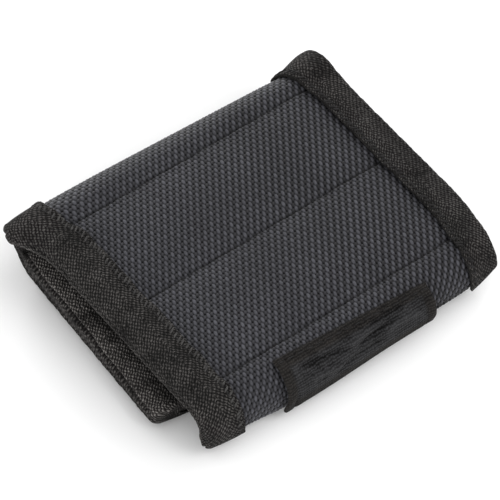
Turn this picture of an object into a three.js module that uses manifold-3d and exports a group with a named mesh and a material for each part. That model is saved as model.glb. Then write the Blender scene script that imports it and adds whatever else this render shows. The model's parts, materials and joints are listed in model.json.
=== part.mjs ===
// Magnetic wristband: a padded, bound fabric band, folded over into a flattened loop.
// Millimetres, +Z up, X across the band, -Y towards the curled front end, standing on z = 0.
//
// The band is described flat, by x across it, s along it and h above its outer cloth, and then rolled:
// s = 0 is where the back fold starts, s < 0 is the top leaf and the front curl, and past the fold
// comes the lower leaf. Every hinge line lies on the outside of the band, so a fold opens without crowding.

import * as THREE from "three";
import Module from "manifold-3d";
import { mergeVertices } from "three/addons/utils/BufferGeometryUtils.js";

// Band
const BAND_WIDTH = 90;
const COVER_THICKNESS = 0.8;
const LINING_THICKNESS = 0.8;
const PAD_THICKNESS = 2.2;
const PAD_ROOM = 0.35;
const SEWN_FIT = 0.3;
const STRIP_GAP = 0.3;
const EDGE_DRAW = 1.6;
const EDGE_POWER = 8;

// Sewn channels across the band
const CHANNEL_PITCH = 28.4;
const CHANNEL_DRAW = 0.5;
const LINING_DRAW = 1.3;
const CHANNEL_POWER = 24;
const CHANNEL_TO_FOLD = 2.9;

// Binding tape
const TAPE_THICKNESS = 0.8;
const TAPE_SHOWING = 10.3;
const TAIL_TAPE_SHOWING = 10.3;

// Back fold, top leaf and front curl
const FOLD_RADIUS = 8.7;
const FOLD_TURN = THREE.MathUtils.degToRad(184.4);
const FOLD_SKEW = THREE.MathUtils.degToRad(2.2);
const FOLD_STRIPS = 3;
const CHANNEL_TO_CURL = 1.6;
const CURL_RADIUS = 8.2;
const CURL_TURN = THREE.MathUtils.degToRad(86);
const CURL_STRIPS = 2;
const END_DROP = 3.0;

// Lower leaf
const LOWER_LENGTH = 58.5;

// Magnets and their pads
const MAGNET_DIAMETER = 16;
const MAGNET_THICKNESS = 1.8;
const MAGNET_PITCH = 21;
const MAGNETS_ACROSS = 3;
const MAGNET_FIT = 0.3;
const PAD_WIDTH = 64;
const PAD_TO_CHANNEL = 4.2;
const PAD_CORNER = 3;

// Closing tab and the patch that it would close on
const TAB_WIDTH = 44;
const TAB_OFF_CENTRE = 0;
const TAB_THICKNESS = 0.9;
const TAB_START_ON_CURL = THREE.MathUtils.degToRad(14);
const TAB_SHORT_OF_END = 0.7;
const HOOK_THICKNESS = 0.4;
const HOOK_MARGIN = 2.5;
const LOOP_WIDTH = 46;
const LOOP_LENGTH = 42;
const LOOP_THICKNESS = 1.0;
const LOOP_CORNER = 3;
const LOOP_TO_FOLD = 5.5;

// Worked out from the sizes above
const HALF_WIDTH = BAND_WIDTH / 2;
const CLOTH_HALF = HALF_WIDTH - TAPE_THICKNESS - SEWN_FIT;
const PAD_SPACE = PAD_THICKNESS + 2 * PAD_ROOM;
const FOLD_LENGTH = FOLD_RADIUS * FOLD_TURN;
const CURL_LENGTH = CURL_RADIUS * CURL_TURN;
const REAR_CHANNEL = -CHANNEL_TO_FOLD;
const MIDDLE_CHANNEL = REAR_CHANNEL - CHANNEL_PITCH;
const FRONT_CHANNEL = MIDDLE_CHANNEL - CHANNEL_PITCH;
const CURL_START = FRONT_CHANNEL - CHANNEL_TO_CURL;
const FRONT_END = CURL_START - CURL_LENGTH - END_DROP;
const TAIL_END = FOLD_LENGTH + LOWER_LENGTH;
const LEAF_TILT = FOLD_TURN - Math.PI;
const FOLD_AXIS_HEIGHT = FOLD_RADIUS + SEWN_FIT + LOOP_THICKNESS;
const HINGE_HEIGHT = SEWN_FIT + TAPE_THICKNESS;
const SKEW_COS = Math.cos(FOLD_SKEW);
const SKEW_SIN = Math.sin(FOLD_SKEW);

const wasm = await Module();
wasm.setup();

// A point of the rolled band.
function bandPoint(x, s, h) {
  let y = s;
  let n = h;
  if (s < CURL_START) {
    const run = CURL_START - s;
    const turn = Math.min(run / CURL_RADIUS, CURL_TURN);
    const past = run - turn * CURL_RADIUS;
    const radius = CURL_RADIUS + h;
    y = CURL_START - radius * Math.sin(turn) - past * Math.cos(turn);
    n = radius * Math.cos(turn) - CURL_RADIUS - past * Math.sin(turn);
  }
  const along = x * SKEW_COS - y * SKEW_SIN;
  const across = x * SKEW_SIN + y * SKEW_COS;
  const turn = THREE.MathUtils.clamp(across / FOLD_RADIUS, 0, FOLD_TURN);
  const past = across - turn * FOLD_RADIUS;
  const heading = LEAF_TILT - turn;
  const radius = FOLD_RADIUS + n;
  const back = past * Math.cos(heading) - radius * Math.sin(heading);
  const up = past * Math.sin(heading) + radius * Math.cos(heading);
  return new THREE.Vector3(
    along * SKEW_COS + back * SKEW_SIN,
    back * SKEW_COS - along * SKEW_SIN,
    up + FOLD_AXIS_HEIGHT,
  );
}

// Where the line at a distance past the start of the fold crosses the band at x.
function foldLine(distance) {
  return (x) => (distance - x * SKEW_SIN) / SKEW_COS;
}

// How far a place lies out towards a long edge, and how close it lies to a channel, both from 0 to 1.
function edgeShare(x) {
  return Math.min(1, Math.abs(x) / HALF_WIDTH) ** EDGE_POWER;
}

function channelShare(x, s) {
  const phase = (Math.PI * (s - REAR_CHANNEL)) / CHANNEL_PITCH;
  return Math.abs(Math.cos(phase)) ** CHANNEL_POWER * (1 - edgeShare(x));
}

// The outside of the cover and of the lining, as heights across the band away from the channels.
function coverHeight(x) {
  return -EDGE_DRAW * edgeShare(x);
}

function liningHeight(x) {
  const room = SEWN_FIT + (PAD_SPACE - SEWN_FIT) * (1 - edgeShare(x));
  return coverHeight(x) - COVER_THICKNESS - room;
}

// Channels pull the cover in and the lining out, and leave the middle of the thickness where it is.
const MIDDLE_HEIGHT = -(COVER_THICKNESS + PAD_SPACE / 2);

function channelPull(x, s, h) {
  const pull = channelShare(x, s);
  return h > MIDDLE_HEIGHT ? h - CHANNEL_DRAW * pull : h + LINING_DRAW * pull;
}

// Rolls a section, drawn with x across and height up, along the band through stations of s.
// A station is a number, or a function of x where the station follows the skewed fold.
function rolled(section, stations) {
  const steps = stations.length - 1;
  const geometry = new THREE.ExtrudeGeometry(section, {
    depth: steps,
    steps,
    bevelEnabled: false,
  });
  const position = geometry.getAttribute("position");
  for (let i = 0; i < position.count; i++) {
    const x = position.getX(i);
    const station = stations[steps - Math.round(position.getZ(i))];
    const s = typeof station === "function" ? station(x) : station;
    const point = bandPoint(x, s, channelPull(x, s, position.getY(i)));
    position.setXYZ(i, point.x, point.y, point.z);
  }
  geometry.computeVertexNormals();
  return geometry;
}

// Places across the band at which sections have points, closer towards the edges.
const CLOTH_SHARES = [0, 0.45, 0.72, 0.88, 1];

function acrossCloth() {
  const right = CLOTH_SHARES.map((share) => share * CLOTH_HALF);
  const left = right.slice(1).reverse();
  return [...left.map((x) => -x), ...right];
}

// A layer of even thickness whose outside follows a height.
function layerSection(height, thickness, places) {
  const outside = places.map((x) => new THREE.Vector2(x, height(x)));
  const inside = places.map((x) => new THREE.Vector2(x, height(x) - thickness));
  return new THREE.Shape([...outside, ...inside.reverse()]);
}

// Tape folded over a long edge, for side 1 on the right and -1 on the left.
const TAPE_SHARES = [0, 0.5, 0.85, 1];

function tapeSection(side) {
  const inner = HALF_WIDTH - TAPE_SHOWING;
  const reach = (far) => TAPE_SHARES.map((share) => inner + share * (far - inner));
  const outside = (x) => coverHeight(x) + SEWN_FIT;
  const inside = (x) => liningHeight(x) - LINING_THICKNESS - SEWN_FIT;
  const wide = reach(HALF_WIDTH);
  const narrow = reach(HALF_WIDTH - TAPE_THICKNESS);
  const outline = [
    ...wide.map((x) => [x, outside(x) + TAPE_THICKNESS]),
    ...wide.toReversed().map((x) => [x, inside(x) - TAPE_THICKNESS]),
    ...narrow.map((x) => [x, inside(x)]),
    ...narrow.toReversed().map((x) => [x, outside(x)]),
  ];
  return new THREE.Shape(outline.map(([x, h]) => new THREE.Vector2(side * x, h)));
}

const coverSection = layerSection(coverHeight, COVER_THICKNESS, acrossCloth());
const liningSection = layerSection(liningHeight, LINING_THICKNESS, acrossCloth());
const foldPadSection = layerSection(
  () => -COVER_THICKNESS - PAD_ROOM - SEWN_FIT,
  PAD_SPACE - 2 * PAD_ROOM - 2 * SEWN_FIT,
  [-PAD_WIDTH / 2, 0, PAD_WIDTH / 2],
);

// Stations along the band: the channels, and places between them that keep the channels narrow.
const CHANNEL_STEPS = [0, 0.13, 0.34, 0.66, 0.87];

function leafStations(from, to) {
  const first = Math.floor((from - REAR_CHANNEL) / CHANNEL_PITCH);
  const last = Math.ceil((to - REAR_CHANNEL) / CHANNEL_PITCH);
  const stations = [];
  for (let k = first; k <= last; k++) {
    for (const step of CHANNEL_STEPS) {
      stations.push(REAR_CHANNEL + CHANNEL_PITCH * (k + step));
    }
  }
  return stations.filter((s) => s > from && s < to);
}

// Straight stations start and stop a little clear of the skewed ends of the leaves.
const LEAST_STEP = 0.6;
const SKEW_REACH = HALF_WIDTH * Math.tan(FOLD_SKEW) + LEAST_STEP;
const topStations = [
  CURL_START + STRIP_GAP / 2,
  ...leafStations(CURL_START + LEAST_STEP, -SKEW_REACH),
  foldLine(-STRIP_GAP / 2),
];

function lowerStations(end) {
  const start = FOLD_LENGTH + SKEW_REACH;
  return [
    foldLine(FOLD_LENGTH + STRIP_GAP / 2),
    start,
    ...leafStations(start + LEAST_STEP, end - LEAST_STEP),
    end,
  ];
}

const STRIP_STEPS = 4;

function stripStations(from, to, line) {
  const start = from + STRIP_GAP / 2;
  const end = to - STRIP_GAP / 2;
  const stations = [];
  for (let i = 0; i <= STRIP_STEPS; i++) {
    stations.push(line(start + ((end - start) * i) / STRIP_STEPS));
  }
  return stations;
}

// Materials
function material(color, roughness, metalness = 0) {
  return () => new THREE.MeshStandardMaterial({ color, roughness, metalness });
}

const coverCloth = material(0x2a2b30, 0.8);
const liningCloth = material(0x1c1c1e, 0.95);
const bindingTape = material(0x1f1d1b, 0.85);
const foam = material(0x3a3a3a, 1.0);
const magnetMetal = material(0xb9bbbd, 0.3, 1.0);
const tabWeb = material(0x1b1a19, 0.9);
const hookNylon = material(0x151515, 0.7);
const loopPile = material(0x1a1a1b, 1.0);

function part(parent, name, geometry, finish) {
  const mesh = new THREE.Mesh(geometry, finish());
  mesh.name = name;
  parent.add(mesh);
  return mesh;
}

// Tapes, cover and lining of one stretch of the band.
function stretch(parent, before, after, stations, linedStations = stations) {
  part(parent, `${before}_cover${after}`, rolled(coverSection, linedStations), coverCloth);
  part(parent, `${before}_lining${after}`, rolled(liningSection, linedStations), liningCloth);
  part(parent, `${before}_binding_left${after}`, rolled(tapeSection(-1), stations), bindingTape);
  part(parent, `${before}_binding_right${after}`, rolled(tapeSection(1), stations), bindingTape);
}

// A group on a flat leaf, with its own X across the band, Y along it and Z out of the cover.
function leafGroup(parent, s) {
  const origin = bandPoint(0, s, 0);
  const across = bandPoint(1, s, 0).sub(origin);
  const along = bandPoint(0, s + 1, 0).sub(origin);
  const out = bandPoint(0, s, 1).sub(origin);
  const group = new THREE.Group();
  group.quaternion.setFromRotationMatrix(new THREE.Matrix4().makeBasis(across, along, out));
  group.position.copy(origin);
  parent.add(group);
  return group;
}

function roundedRectangle(width, length, corner) {
  const shape = new THREE.Shape();
  const w = width / 2;
  const l = length / 2;
  shape.moveTo(-w + corner, -l);
  shape.lineTo(w - corner, -l);
  shape.absarc(w - corner, -l + corner, corner, -Math.PI / 2, 0);
  shape.lineTo(w, l - corner);
  shape.absarc(w - corner, l - corner, corner, 0, Math.PI / 2);
  shape.lineTo(-w + corner, l);
  shape.absarc(-w + corner, l - corner, corner, Math.PI / 2, Math.PI);
  shape.lineTo(-w, -l + corner);
  shape.absarc(-w + corner, -l + corner, corner, Math.PI, 1.5 * Math.PI);
  return shape;
}

const CORNER_SIDES = 4;
const MAGNET_SIDES = 24;

function plate(shape, thickness) {
  return new THREE.ExtrudeGeometry(shape, {
    depth: thickness,
    bevelEnabled: false,
    curveSegments: CORNER_SIDES,
  });
}

// Joins and cuts work on closed meshes with shared vertices.
function solid(geometry) {
  const bare = geometry.index ? geometry.toNonIndexed() : geometry.clone();
  bare.deleteAttribute("normal");
  bare.deleteAttribute("uv");
  const merged = mergeVertices(bare);
  return new wasm.Manifold(
    new wasm.Mesh({
      numProp: 3,
      vertProperties: new Float32Array(merged.getAttribute("position").array),
      triVerts: new Uint32Array(merged.index.array),
    }),
  );
}

function fromSolid(made) {
  const mesh = made.getMesh();
  const geometry = new THREE.BufferGeometry();
  geometry.setAttribute("position", new THREE.BufferAttribute(mesh.vertProperties, 3));
  geometry.setIndex(new THREE.BufferAttribute(mesh.triVerts, 1));
  geometry.computeVertexNormals();
  return geometry;
}

function disc(diameter, height) {
  const geometry = new THREE.CylinderGeometry(diameter / 2, diameter / 2, height, MAGNET_SIDES);
  return geometry.rotateX(Math.PI / 2);
}

function magnetPlaces() {
  const places = [];
  for (let i = 0; i < MAGNETS_ACROSS; i++) {
    places.push((i - (MAGNETS_ACROSS - 1) / 2) * MAGNET_PITCH);
  }
  return places;
}

// A foam pad with a row of windows, filling one pocket.
function padGeometry(length) {
  const outline = roundedRectangle(PAD_WIDTH, length, PAD_CORNER);
  let pad = solid(plate(outline, PAD_THICKNESS));
  for (const x of magnetPlaces()) {
    const window = disc(MAGNET_DIAMETER + 2 * MAGNET_FIT, 3 * PAD_THICKNESS);
    pad = pad.subtract(solid(window.translate(x, 0, PAD_THICKNESS / 2)));
  }
  return fromSolid(pad);
}

function pocket(parent, leaf, number, from, to) {
  const group = leafGroup(parent, (from + to) / 2);
  const padBottom = -COVER_THICKNESS - PAD_ROOM - PAD_THICKNESS;
  const pad = part(group, `${leaf}_pad_${number}`, padGeometry(to - from - 2 * PAD_TO_CHANNEL), foam);
  pad.position.z = padBottom;
  magnetPlaces().forEach((x, i) => {
    const name = `${leaf}_magnet_${(number - 1) * MAGNETS_ACROSS + i + 1}`;
    const magnet = part(group, name, disc(MAGNET_DIAMETER, MAGNET_THICKNESS), magnetMetal);
    magnet.position.set(x, 0, padBottom + PAD_THICKNESS / 2);
  });
}

const wristband = new THREE.Group();
wristband.name = "magnetic_wristband";
const band = new THREE.Group();
wristband.add(band);

// Top leaf
stretch(band, "top", "", topStations);
pocket(band, "top", 1, FRONT_CHANNEL, MIDDLE_CHANNEL);
pocket(band, "top", 2, MIDDLE_CHANNEL, REAR_CHANNEL);

// Back fold, numbered from the lower leaf up
for (let i = 0; i < FOLD_STRIPS; i++) {
  const from = (FOLD_LENGTH * (FOLD_STRIPS - 1 - i)) / FOLD_STRIPS;
  const stations = stripStations(from, from + FOLD_LENGTH / FOLD_STRIPS, foldLine);
  stretch(band, "fold", `_${i + 1}`, stations);
  part(band, `fold_pad_${i + 1}`, rolled(foldPadSection, stations), foam);
}

// Lower leaf, whose cloth stops inside the tape at the tail
const CLOTH_TAIL = TAIL_END - TAPE_THICKNESS - SEWN_FIT;
const REAR_LOWER_CHANNEL = REAR_CHANNEL + CHANNEL_PITCH;
const MIDDLE_LOWER_CHANNEL = REAR_LOWER_CHANNEL + CHANNEL_PITCH;
const LAST_POCKET_END = Math.min(MIDDLE_LOWER_CHANNEL + CHANNEL_PITCH, CLOTH_TAIL);
stretch(band, "lower", "", lowerStations(TAIL_END), lowerStations(CLOTH_TAIL));
pocket(band, "lower", 1, FOLD_LENGTH, MIDDLE_LOWER_CHANNEL);
pocket(band, "lower", 2, MIDDLE_LOWER_CHANNEL, LAST_POCKET_END);

// Tape over the tail, between the side tapes: a section along the band, drawn across it
function tailBinding() {
  const start = TAIL_END - TAIL_TAPE_SHOWING;
  const outer = SEWN_FIT + TAPE_THICKNESS;
  const inner = liningHeight(0) - LINING_THICKNESS - SEWN_FIT - TAPE_THICKNESS;
  const wall = TAIL_END - TAPE_THICKNESS;
  const outline = [
    [start, outer],
    [start, outer - TAPE_THICKNESS],
    [wall, outer - TAPE_THICKNESS],
    [wall, inner + TAPE_THICKNESS],
    [start, inner + TAPE_THICKNESS],
    [start, inner],
    [TAIL_END, inner],
    [TAIL_END, outer],
  ];
  const width = 2 * (HALF_WIDTH - TAPE_SHOWING - SEWN_FIT);
  const steps = 6;
  const shape = new THREE.Shape(outline.map(([s, h]) => new THREE.Vector2(s, h)));
  const geometry = new THREE.ExtrudeGeometry(shape, { depth: width, steps, bevelEnabled: false });
  const position = geometry.getAttribute("position");
  for (let i = 0; i < position.count; i++) {
    const x = width / 2 - position.getZ(i);
    const h = position.getY(i);
    const s = position.getX(i);
    const drawn = h > MIDDLE_HEIGHT ? coverHeight(x) : liningHeight(x) - liningHeight(0);
    const point = bandPoint(-x, s, h + drawn);
    position.setXYZ(i, point.x, point.y, point.z);
  }
  geometry.computeVertexNormals();
  return geometry;
}

part(band, "tail_binding", tailBinding(), bindingTape);

// Front curl, numbered from the top leaf down, closed at its end by the turned edge of the cover
const END_FACING = COVER_THICKNESS;
for (let i = 0; i < CURL_STRIPS; i++) {
  const last = i === CURL_STRIPS - 1;
  const share = CURL_LENGTH / CURL_STRIPS;
  const near = CURL_START - i * share;
  const far = last ? FRONT_END : near - share;
  const stations = stripStations(far, near, (s) => s);
  const cloth = last ? stripStations(FRONT_END + END_FACING + SEWN_FIT, near, (s) => s) : stations;
  stretch(band, "front", `_${i + 1}`, stations, cloth);
  part(band, `front_pad_${i + 1}`, rolled(foldPadSection, cloth), foam);
}

const facingHalf = HALF_WIDTH - TAPE_SHOWING - SEWN_FIT;
const facingSection = layerSection(
  coverHeight,
  COVER_THICKNESS + PAD_SPACE + LINING_THICKNESS,
  [-facingHalf, 0, facingHalf],
);
const facingStations = [FRONT_END, FRONT_END + END_FACING];
part(band, "front_end_facing", rolled(facingSection, facingStations), coverCloth);

// Closing tab over the curl, with its hook patch underneath
const TAB_START = CURL_START - CURL_RADIUS * TAB_START_ON_CURL;
const TAB_END = FRONT_END + TAB_SHORT_OF_END;
const TAB_STEPS = 8;

function tabStations(from, to) {
  const stations = [];
  for (let i = 0; i <= TAB_STEPS; i++) {
    stations.push(to + ((from - to) * i) / TAB_STEPS);
  }
  return stations;
}

function tabLayer(width, bottom, thickness, from, to) {
  const places = [-width / 2, width / 2].map((x) => x + TAB_OFF_CENTRE);
  const section = layerSection(() => bottom + thickness, thickness, places);
  return rolled(section, tabStations(from, to));
}

const HOOK_BOTTOM = SEWN_FIT;
const TAB_BOTTOM = HOOK_BOTTOM + HOOK_THICKNESS + SEWN_FIT;
const HOOK_WIDTH = TAB_WIDTH - 2 * HOOK_MARGIN;
part(band, "closing_tab", tabLayer(TAB_WIDTH, TAB_BOTTOM, TAB_THICKNESS, TAB_START, TAB_END), tabWeb);
part(
  band,
  "hook_patch",
  tabLayer(HOOK_WIDTH, HOOK_BOTTOM, HOOK_THICKNESS, TAB_START - HOOK_MARGIN, TAB_END + HOOK_MARGIN),
  hookNylon,
);

// Loop patch under the lower leaf, on which the band stands
const loopGroup = leafGroup(band, FOLD_LENGTH + LOOP_TO_FOLD + LOOP_LENGTH / 2);
const loopShape = roundedRectangle(LOOP_WIDTH, LOOP_LENGTH, LOOP_CORNER);
const loop = part(loopGroup, "loop_patch", plate(loopShape, LOOP_THICKNESS), loopPile);
loop.position.z = SEWN_FIT;

// The origin is under the middle of the closed band
wristband.updateMatrixWorld(true);
const reach = new THREE.Box3().setFromObject(band, true);
const middle = reach.getCenter(new THREE.Vector3());
band.position.set(-middle.x, -middle.y, -reach.min.z);
wristband.updateMatrixWorld(true);

// The fold lines, as points and directions about which a positive turn opens the band
function foldHinge(name, distance) {
  const point = bandPoint(0, foldLine(distance)(0), HINGE_HEIGHT).add(band.position);
  return { name, point, axis: new THREE.Vector3(-SKEW_COS, SKEW_SIN, 0) };
}

function curlHinge(name, s, h) {
  const point = bandPoint(0, s, h);
  const axis = point.clone().sub(bandPoint(1, s, h));
  return { name, point: point.add(band.position), axis };
}

wristband.userData.hinges = [];
for (let i = 0; i <= FOLD_STRIPS; i++) {
  const distance = FOLD_LENGTH * (1 - i / FOLD_STRIPS);
  wristband.userData.hinges.push(foldHinge(`fold_${i + 1}`, distance));
}
for (let i = 0; i < CURL_STRIPS; i++) {
  const s = CURL_START - (i * CURL_LENGTH) / CURL_STRIPS;
  wristband.userData.hinges.push(curlHinge(`front_${i + 1}`, s, HINGE_HEIGHT));
}
wristband.userData.hinges.push(curlHinge("closing_tab", TAB_START, TAB_BOTTOM + TAB_THICKNESS));

export default wristband;
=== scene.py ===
"""Magnetic wristband: a padded, bound fabric band folded over into a flattened loop.

The band is described flat, by x across it, s along it and h above its outer cloth, all in millimetres,
and rolled into its folded shape in the same way as the part's solids.
"""

import json
import math
from collections import namedtuple

import bpy
import numpy as np
from bpy.props import FloatProperty, FloatVectorProperty, PointerProperty
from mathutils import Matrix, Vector


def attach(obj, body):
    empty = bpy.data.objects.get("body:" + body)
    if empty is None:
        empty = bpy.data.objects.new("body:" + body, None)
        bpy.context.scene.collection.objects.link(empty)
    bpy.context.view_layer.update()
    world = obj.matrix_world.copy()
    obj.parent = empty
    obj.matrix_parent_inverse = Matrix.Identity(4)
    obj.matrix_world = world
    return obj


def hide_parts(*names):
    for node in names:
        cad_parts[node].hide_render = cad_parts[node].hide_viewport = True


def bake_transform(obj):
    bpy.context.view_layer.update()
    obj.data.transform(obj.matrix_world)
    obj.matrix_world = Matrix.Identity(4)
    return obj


bl_info = {
    "name": "Magnetic wristband",
    "version": (1, 0, 0),
    "blender": (4, 5, 0),
    "location": "View3D > Sidebar > Wristband",
    "description": "Dresses the wristband's packed frame in woven cloth, tape, stitches and a closing tab",
    "category": "Object",
}

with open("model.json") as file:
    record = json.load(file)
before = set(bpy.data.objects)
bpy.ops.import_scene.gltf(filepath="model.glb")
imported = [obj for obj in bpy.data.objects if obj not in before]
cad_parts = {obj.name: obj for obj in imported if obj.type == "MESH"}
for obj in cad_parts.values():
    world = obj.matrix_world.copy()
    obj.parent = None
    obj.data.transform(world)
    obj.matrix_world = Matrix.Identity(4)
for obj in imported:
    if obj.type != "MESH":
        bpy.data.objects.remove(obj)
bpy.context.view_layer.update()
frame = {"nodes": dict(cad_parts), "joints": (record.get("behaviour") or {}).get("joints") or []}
MM = 0.001

# The band's sizes, as in the part's solids
HALF_WIDTH = 45.0
COVER_THICKNESS = 0.8
LINING_THICKNESS = 0.8
PAD_SPACE = 2.9
SEWN_FIT = 0.3
EDGE_DRAW = 1.6
EDGE_POWER = 8
CHANNEL_PITCH = 28.4
CHANNEL_DRAW = 0.5
LINING_DRAW = 1.3
CHANNEL_POWER = 24
CHANNEL_TO_CURL = 1.6
TAPE_THICKNESS = 0.8
TAPE_SHOWING = 10.3
FOLD_RADIUS = 8.7
FOLD_TURN = math.radians(184.4)
FOLD_SKEW = math.radians(2.2)
CURL_RADIUS = 8.2
CURL_TURN = math.radians(86)
END_DROP = 3.0
LOWER_LENGTH = 58.5
TAB_HALF = 22.0
TAB_THICKNESS = 0.9
TAB_BOTTOM = 1.0
TAB_TURN = math.radians(14)
TAB_TO_END = 0.7
LOOP_WIDTH = 46.0
LOOP_LENGTH = 42.0
LOOP_THICKNESS = 1.0
LOOP_TO_FOLD = 5.5
HOOK_THICKNESS = 0.4
HOOK_MARGIN = 2.5

CLOTH_HALF = HALF_WIDTH - TAPE_THICKNESS - SEWN_FIT
TAPE_INNER = HALF_WIDTH - TAPE_SHOWING
FOLD_LENGTH = FOLD_RADIUS * FOLD_TURN
FOLD_STEP = FOLD_LENGTH / 6
CURL_LENGTH = CURL_RADIUS * CURL_TURN
REAR_CHANNEL = -2.9
MIDDLE_CHANNEL = REAR_CHANNEL - CHANNEL_PITCH
FRONT_CHANNEL = MIDDLE_CHANNEL - CHANNEL_PITCH
LOWER_CHANNEL = REAR_CHANNEL + 2 * CHANNEL_PITCH
CURL_START = FRONT_CHANNEL - CHANNEL_TO_CURL
FRONT_END = CURL_START - CURL_LENGTH - END_DROP
TAIL_END = FOLD_LENGTH + LOWER_LENGTH
CLOTH_END = TAIL_END - TAPE_THICKNESS - SEWN_FIT
TAB_START = CURL_START - CURL_RADIUS * TAB_TURN
TAB_END = FRONT_END + TAB_TO_END
TAB_LENGTH = TAB_START - TAB_END
LEAF_TILT = FOLD_TURN - math.pi
FOLD_AXIS_HEIGHT = FOLD_RADIUS + SEWN_FIT + LOOP_THICKNESS
HINGE_HEIGHT = SEWN_FIT + TAPE_THICKNESS
MIDDLE_HEIGHT = -(COVER_THICKNESS + PAD_SPACE / 2)
SKEW_COS = math.cos(FOLD_SKEW)
SKEW_SIN = math.sin(FOLD_SKEW)
SIDES = (("left", -1), ("right", 1))

JOINT_AT = {j["name"]: np.array(j["pos_m"]) / MM for j in frame["joints"]}


def ramp(value, low, high):
    """0 up to low and 1 from high on, or the other way round, with soft ends."""
    t = np.clip((value - low) / (high - low), 0, 1)
    return t * t * (3 - 2 * t)


def bell(value, at, reach):
    """1 at a place, and less on both sides of it."""
    return np.exp(-(((value - at) / reach) ** 2))


def rounded_off(past, radius):
    """How far a round corner is set back, by the distance past the corner's start."""
    return radius - np.sqrt(np.maximum(radius**2 - past**2, 0))


def waves(x, seed, lengths):
    """Uneven ripples of height 1 along x, the same each time."""
    source = np.random.default_rng(seed)
    total = 0
    for length in lengths:
        total = total + np.sin(2 * np.pi * x / length + source.uniform(0, 2 * np.pi))
    return total / len(lengths)


def over_fold(x, s):
    """Distance from the start of the fold, square to its axis."""
    return x * SKEW_SIN + s * SKEW_COS


def rolled(x, s, h):
    """Points of the rolled band, before it is set on its origin."""
    x, s, h = np.broadcast_arrays(np.asarray(x, float), np.asarray(s, float), np.asarray(h, float))
    run = np.maximum(CURL_START - s, 0)
    turn = np.minimum(run / CURL_RADIUS, CURL_TURN)
    past = run - turn * CURL_RADIUS
    radius = CURL_RADIUS + h
    curled = s < CURL_START
    y = np.where(curled, CURL_START - radius * np.sin(turn) - past * np.cos(turn), s)
    n = np.where(curled, radius * np.cos(turn) - CURL_RADIUS - past * np.sin(turn), h)
    along = x * SKEW_COS - y * SKEW_SIN
    across = over_fold(x, y)
    turn = np.clip(across / FOLD_RADIUS, 0, FOLD_TURN)
    past = across - turn * FOLD_RADIUS
    heading = LEAF_TILT - turn
    radius = FOLD_RADIUS + n
    back = past * np.cos(heading) - radius * np.sin(heading)
    up = past * np.sin(heading) + radius * np.cos(heading)
    return np.stack(
        [along * SKEW_COS + back * SKEW_SIN, back * SKEW_COS - along * SKEW_SIN, up + FOLD_AXIS_HEIGHT], -1
    )


SHIFT = JOINT_AT["fold_lower"] - rolled(0, FOLD_LENGTH / SKEW_COS, HINGE_HEIGHT)

# The fold stands up at its right end, and is squashed and pushed out at its left end.
# A pair of numbers, here and further on, is where something sets in and where it is full.
RIGHT_FLARE = 3.0
LEFT_DROP = 0.2
LEFT_TUCK = 1.7
LEFT_PUSH = 4.2
FLARE_AT = 8.0
FLARE_REACH = 9.0
TUCK_AT = 21.0
TUCK_REACH = 6.0
PUSH_AT = 4.0
PUSH_REACH = 8.0
DROP_ACROSS = (-12, -44)
FLARE_ACROSS = (34, 45)
PUSH_ACROSS = (-22, -44)
INNER_RADIUS = 2.4
FLOOR_CLEAR = 0.02


def lay(x, s):
    """How far the band lies off an even roll, in millimetres outwards."""
    left = ramp(x, *DROP_ACROSS)
    high = bell(over_fold(x, s), FLARE_AT, FLARE_REACH)
    low = bell(over_fold(x, s), TUCK_AT, TUCK_REACH)
    return high * (RIGHT_FLARE * ramp(x, *FLARE_ACROSS) - LEFT_DROP * left) - low * LEFT_TUCK * left


def push(x, s):
    """How far the fold's left end is pushed out sideways, in millimetres."""
    return -LEFT_PUSH * ramp(x, *PUSH_ACROSS) * bell(over_fold(x, s), PUSH_AT, PUSH_REACH)


def innermost(x, s):
    """The lowest height that keeps the inside of the fold clear of its axis."""
    across = over_fold(x, s)
    let_go = ramp(across, 5 * FOLD_STEP, 6 * FOLD_STEP)
    return np.where(across > 0, INNER_RADIUS - FOLD_RADIUS * (1 + let_go), -2 * FOLD_RADIUS)


def band(x, s, h, clear=FLOOR_CLEAR):
    """Points on the band as it lies, in metres. None is lower than its clearance over the floor."""
    height = np.maximum(h + lay(x, s), innermost(x, s))
    points = rolled(x + push(x, s), s, height) + SHIFT
    points[..., 2] = np.maximum(points[..., 2], clear)
    return points * MM


# Heights of the layers
def edge_share(x):
    return np.minimum(1, np.abs(x) / HALF_WIDTH) ** EDGE_POWER


def channel_phase(s):
    return (s - REAR_CHANNEL) / CHANNEL_PITCH


def to_channel(s):
    """Distance to the nearest sewn line across the band."""
    phase = channel_phase(s)
    return (phase - np.round(phase)) * CHANNEL_PITCH


def channel_share(x, s):
    return np.abs(np.cos(np.pi * channel_phase(s))) ** CHANNEL_POWER * (1 - edge_share(x))


def cover_height(x):
    return -EDGE_DRAW * edge_share(x)


def lining_height(x):
    return cover_height(x) - COVER_THICKNESS - SEWN_FIT - (PAD_SPACE - SEWN_FIT) * (1 - edge_share(x))


def channel_pull(x, s, h):
    pull = channel_share(x, s)
    return np.where(h > MIDDLE_HEIGHT, h - CHANNEL_DRAW * pull, h + LINING_DRAW * pull)


# The band is dressed in sections. Each crosses one hinge, and meets the next halfway over a stiff strip.
Section = namedtuple("Section", "name low high start end hinge skewed reach")
END_ROUND = 2.25
END_RISE = 2.4
END_RISE_ACROSS = (32, 45)
END_SAG = 1.5
END_SAG_AT = -22
END_SAG_REACH = 7


def fold_line(steps):
    return lambda x: (steps * FOLD_STEP - x * SKEW_SIN) / SKEW_COS


def level(s):
    return lambda x: s + 0 * x


def front_end(x):
    """The front end, which stops a little higher towards its right and hangs lower left of the tab."""
    return FRONT_END + END_RISE * ramp(x, *END_RISE_ACROSS) - END_SAG * bell(x, END_SAG_AT, END_SAG_REACH)


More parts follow.
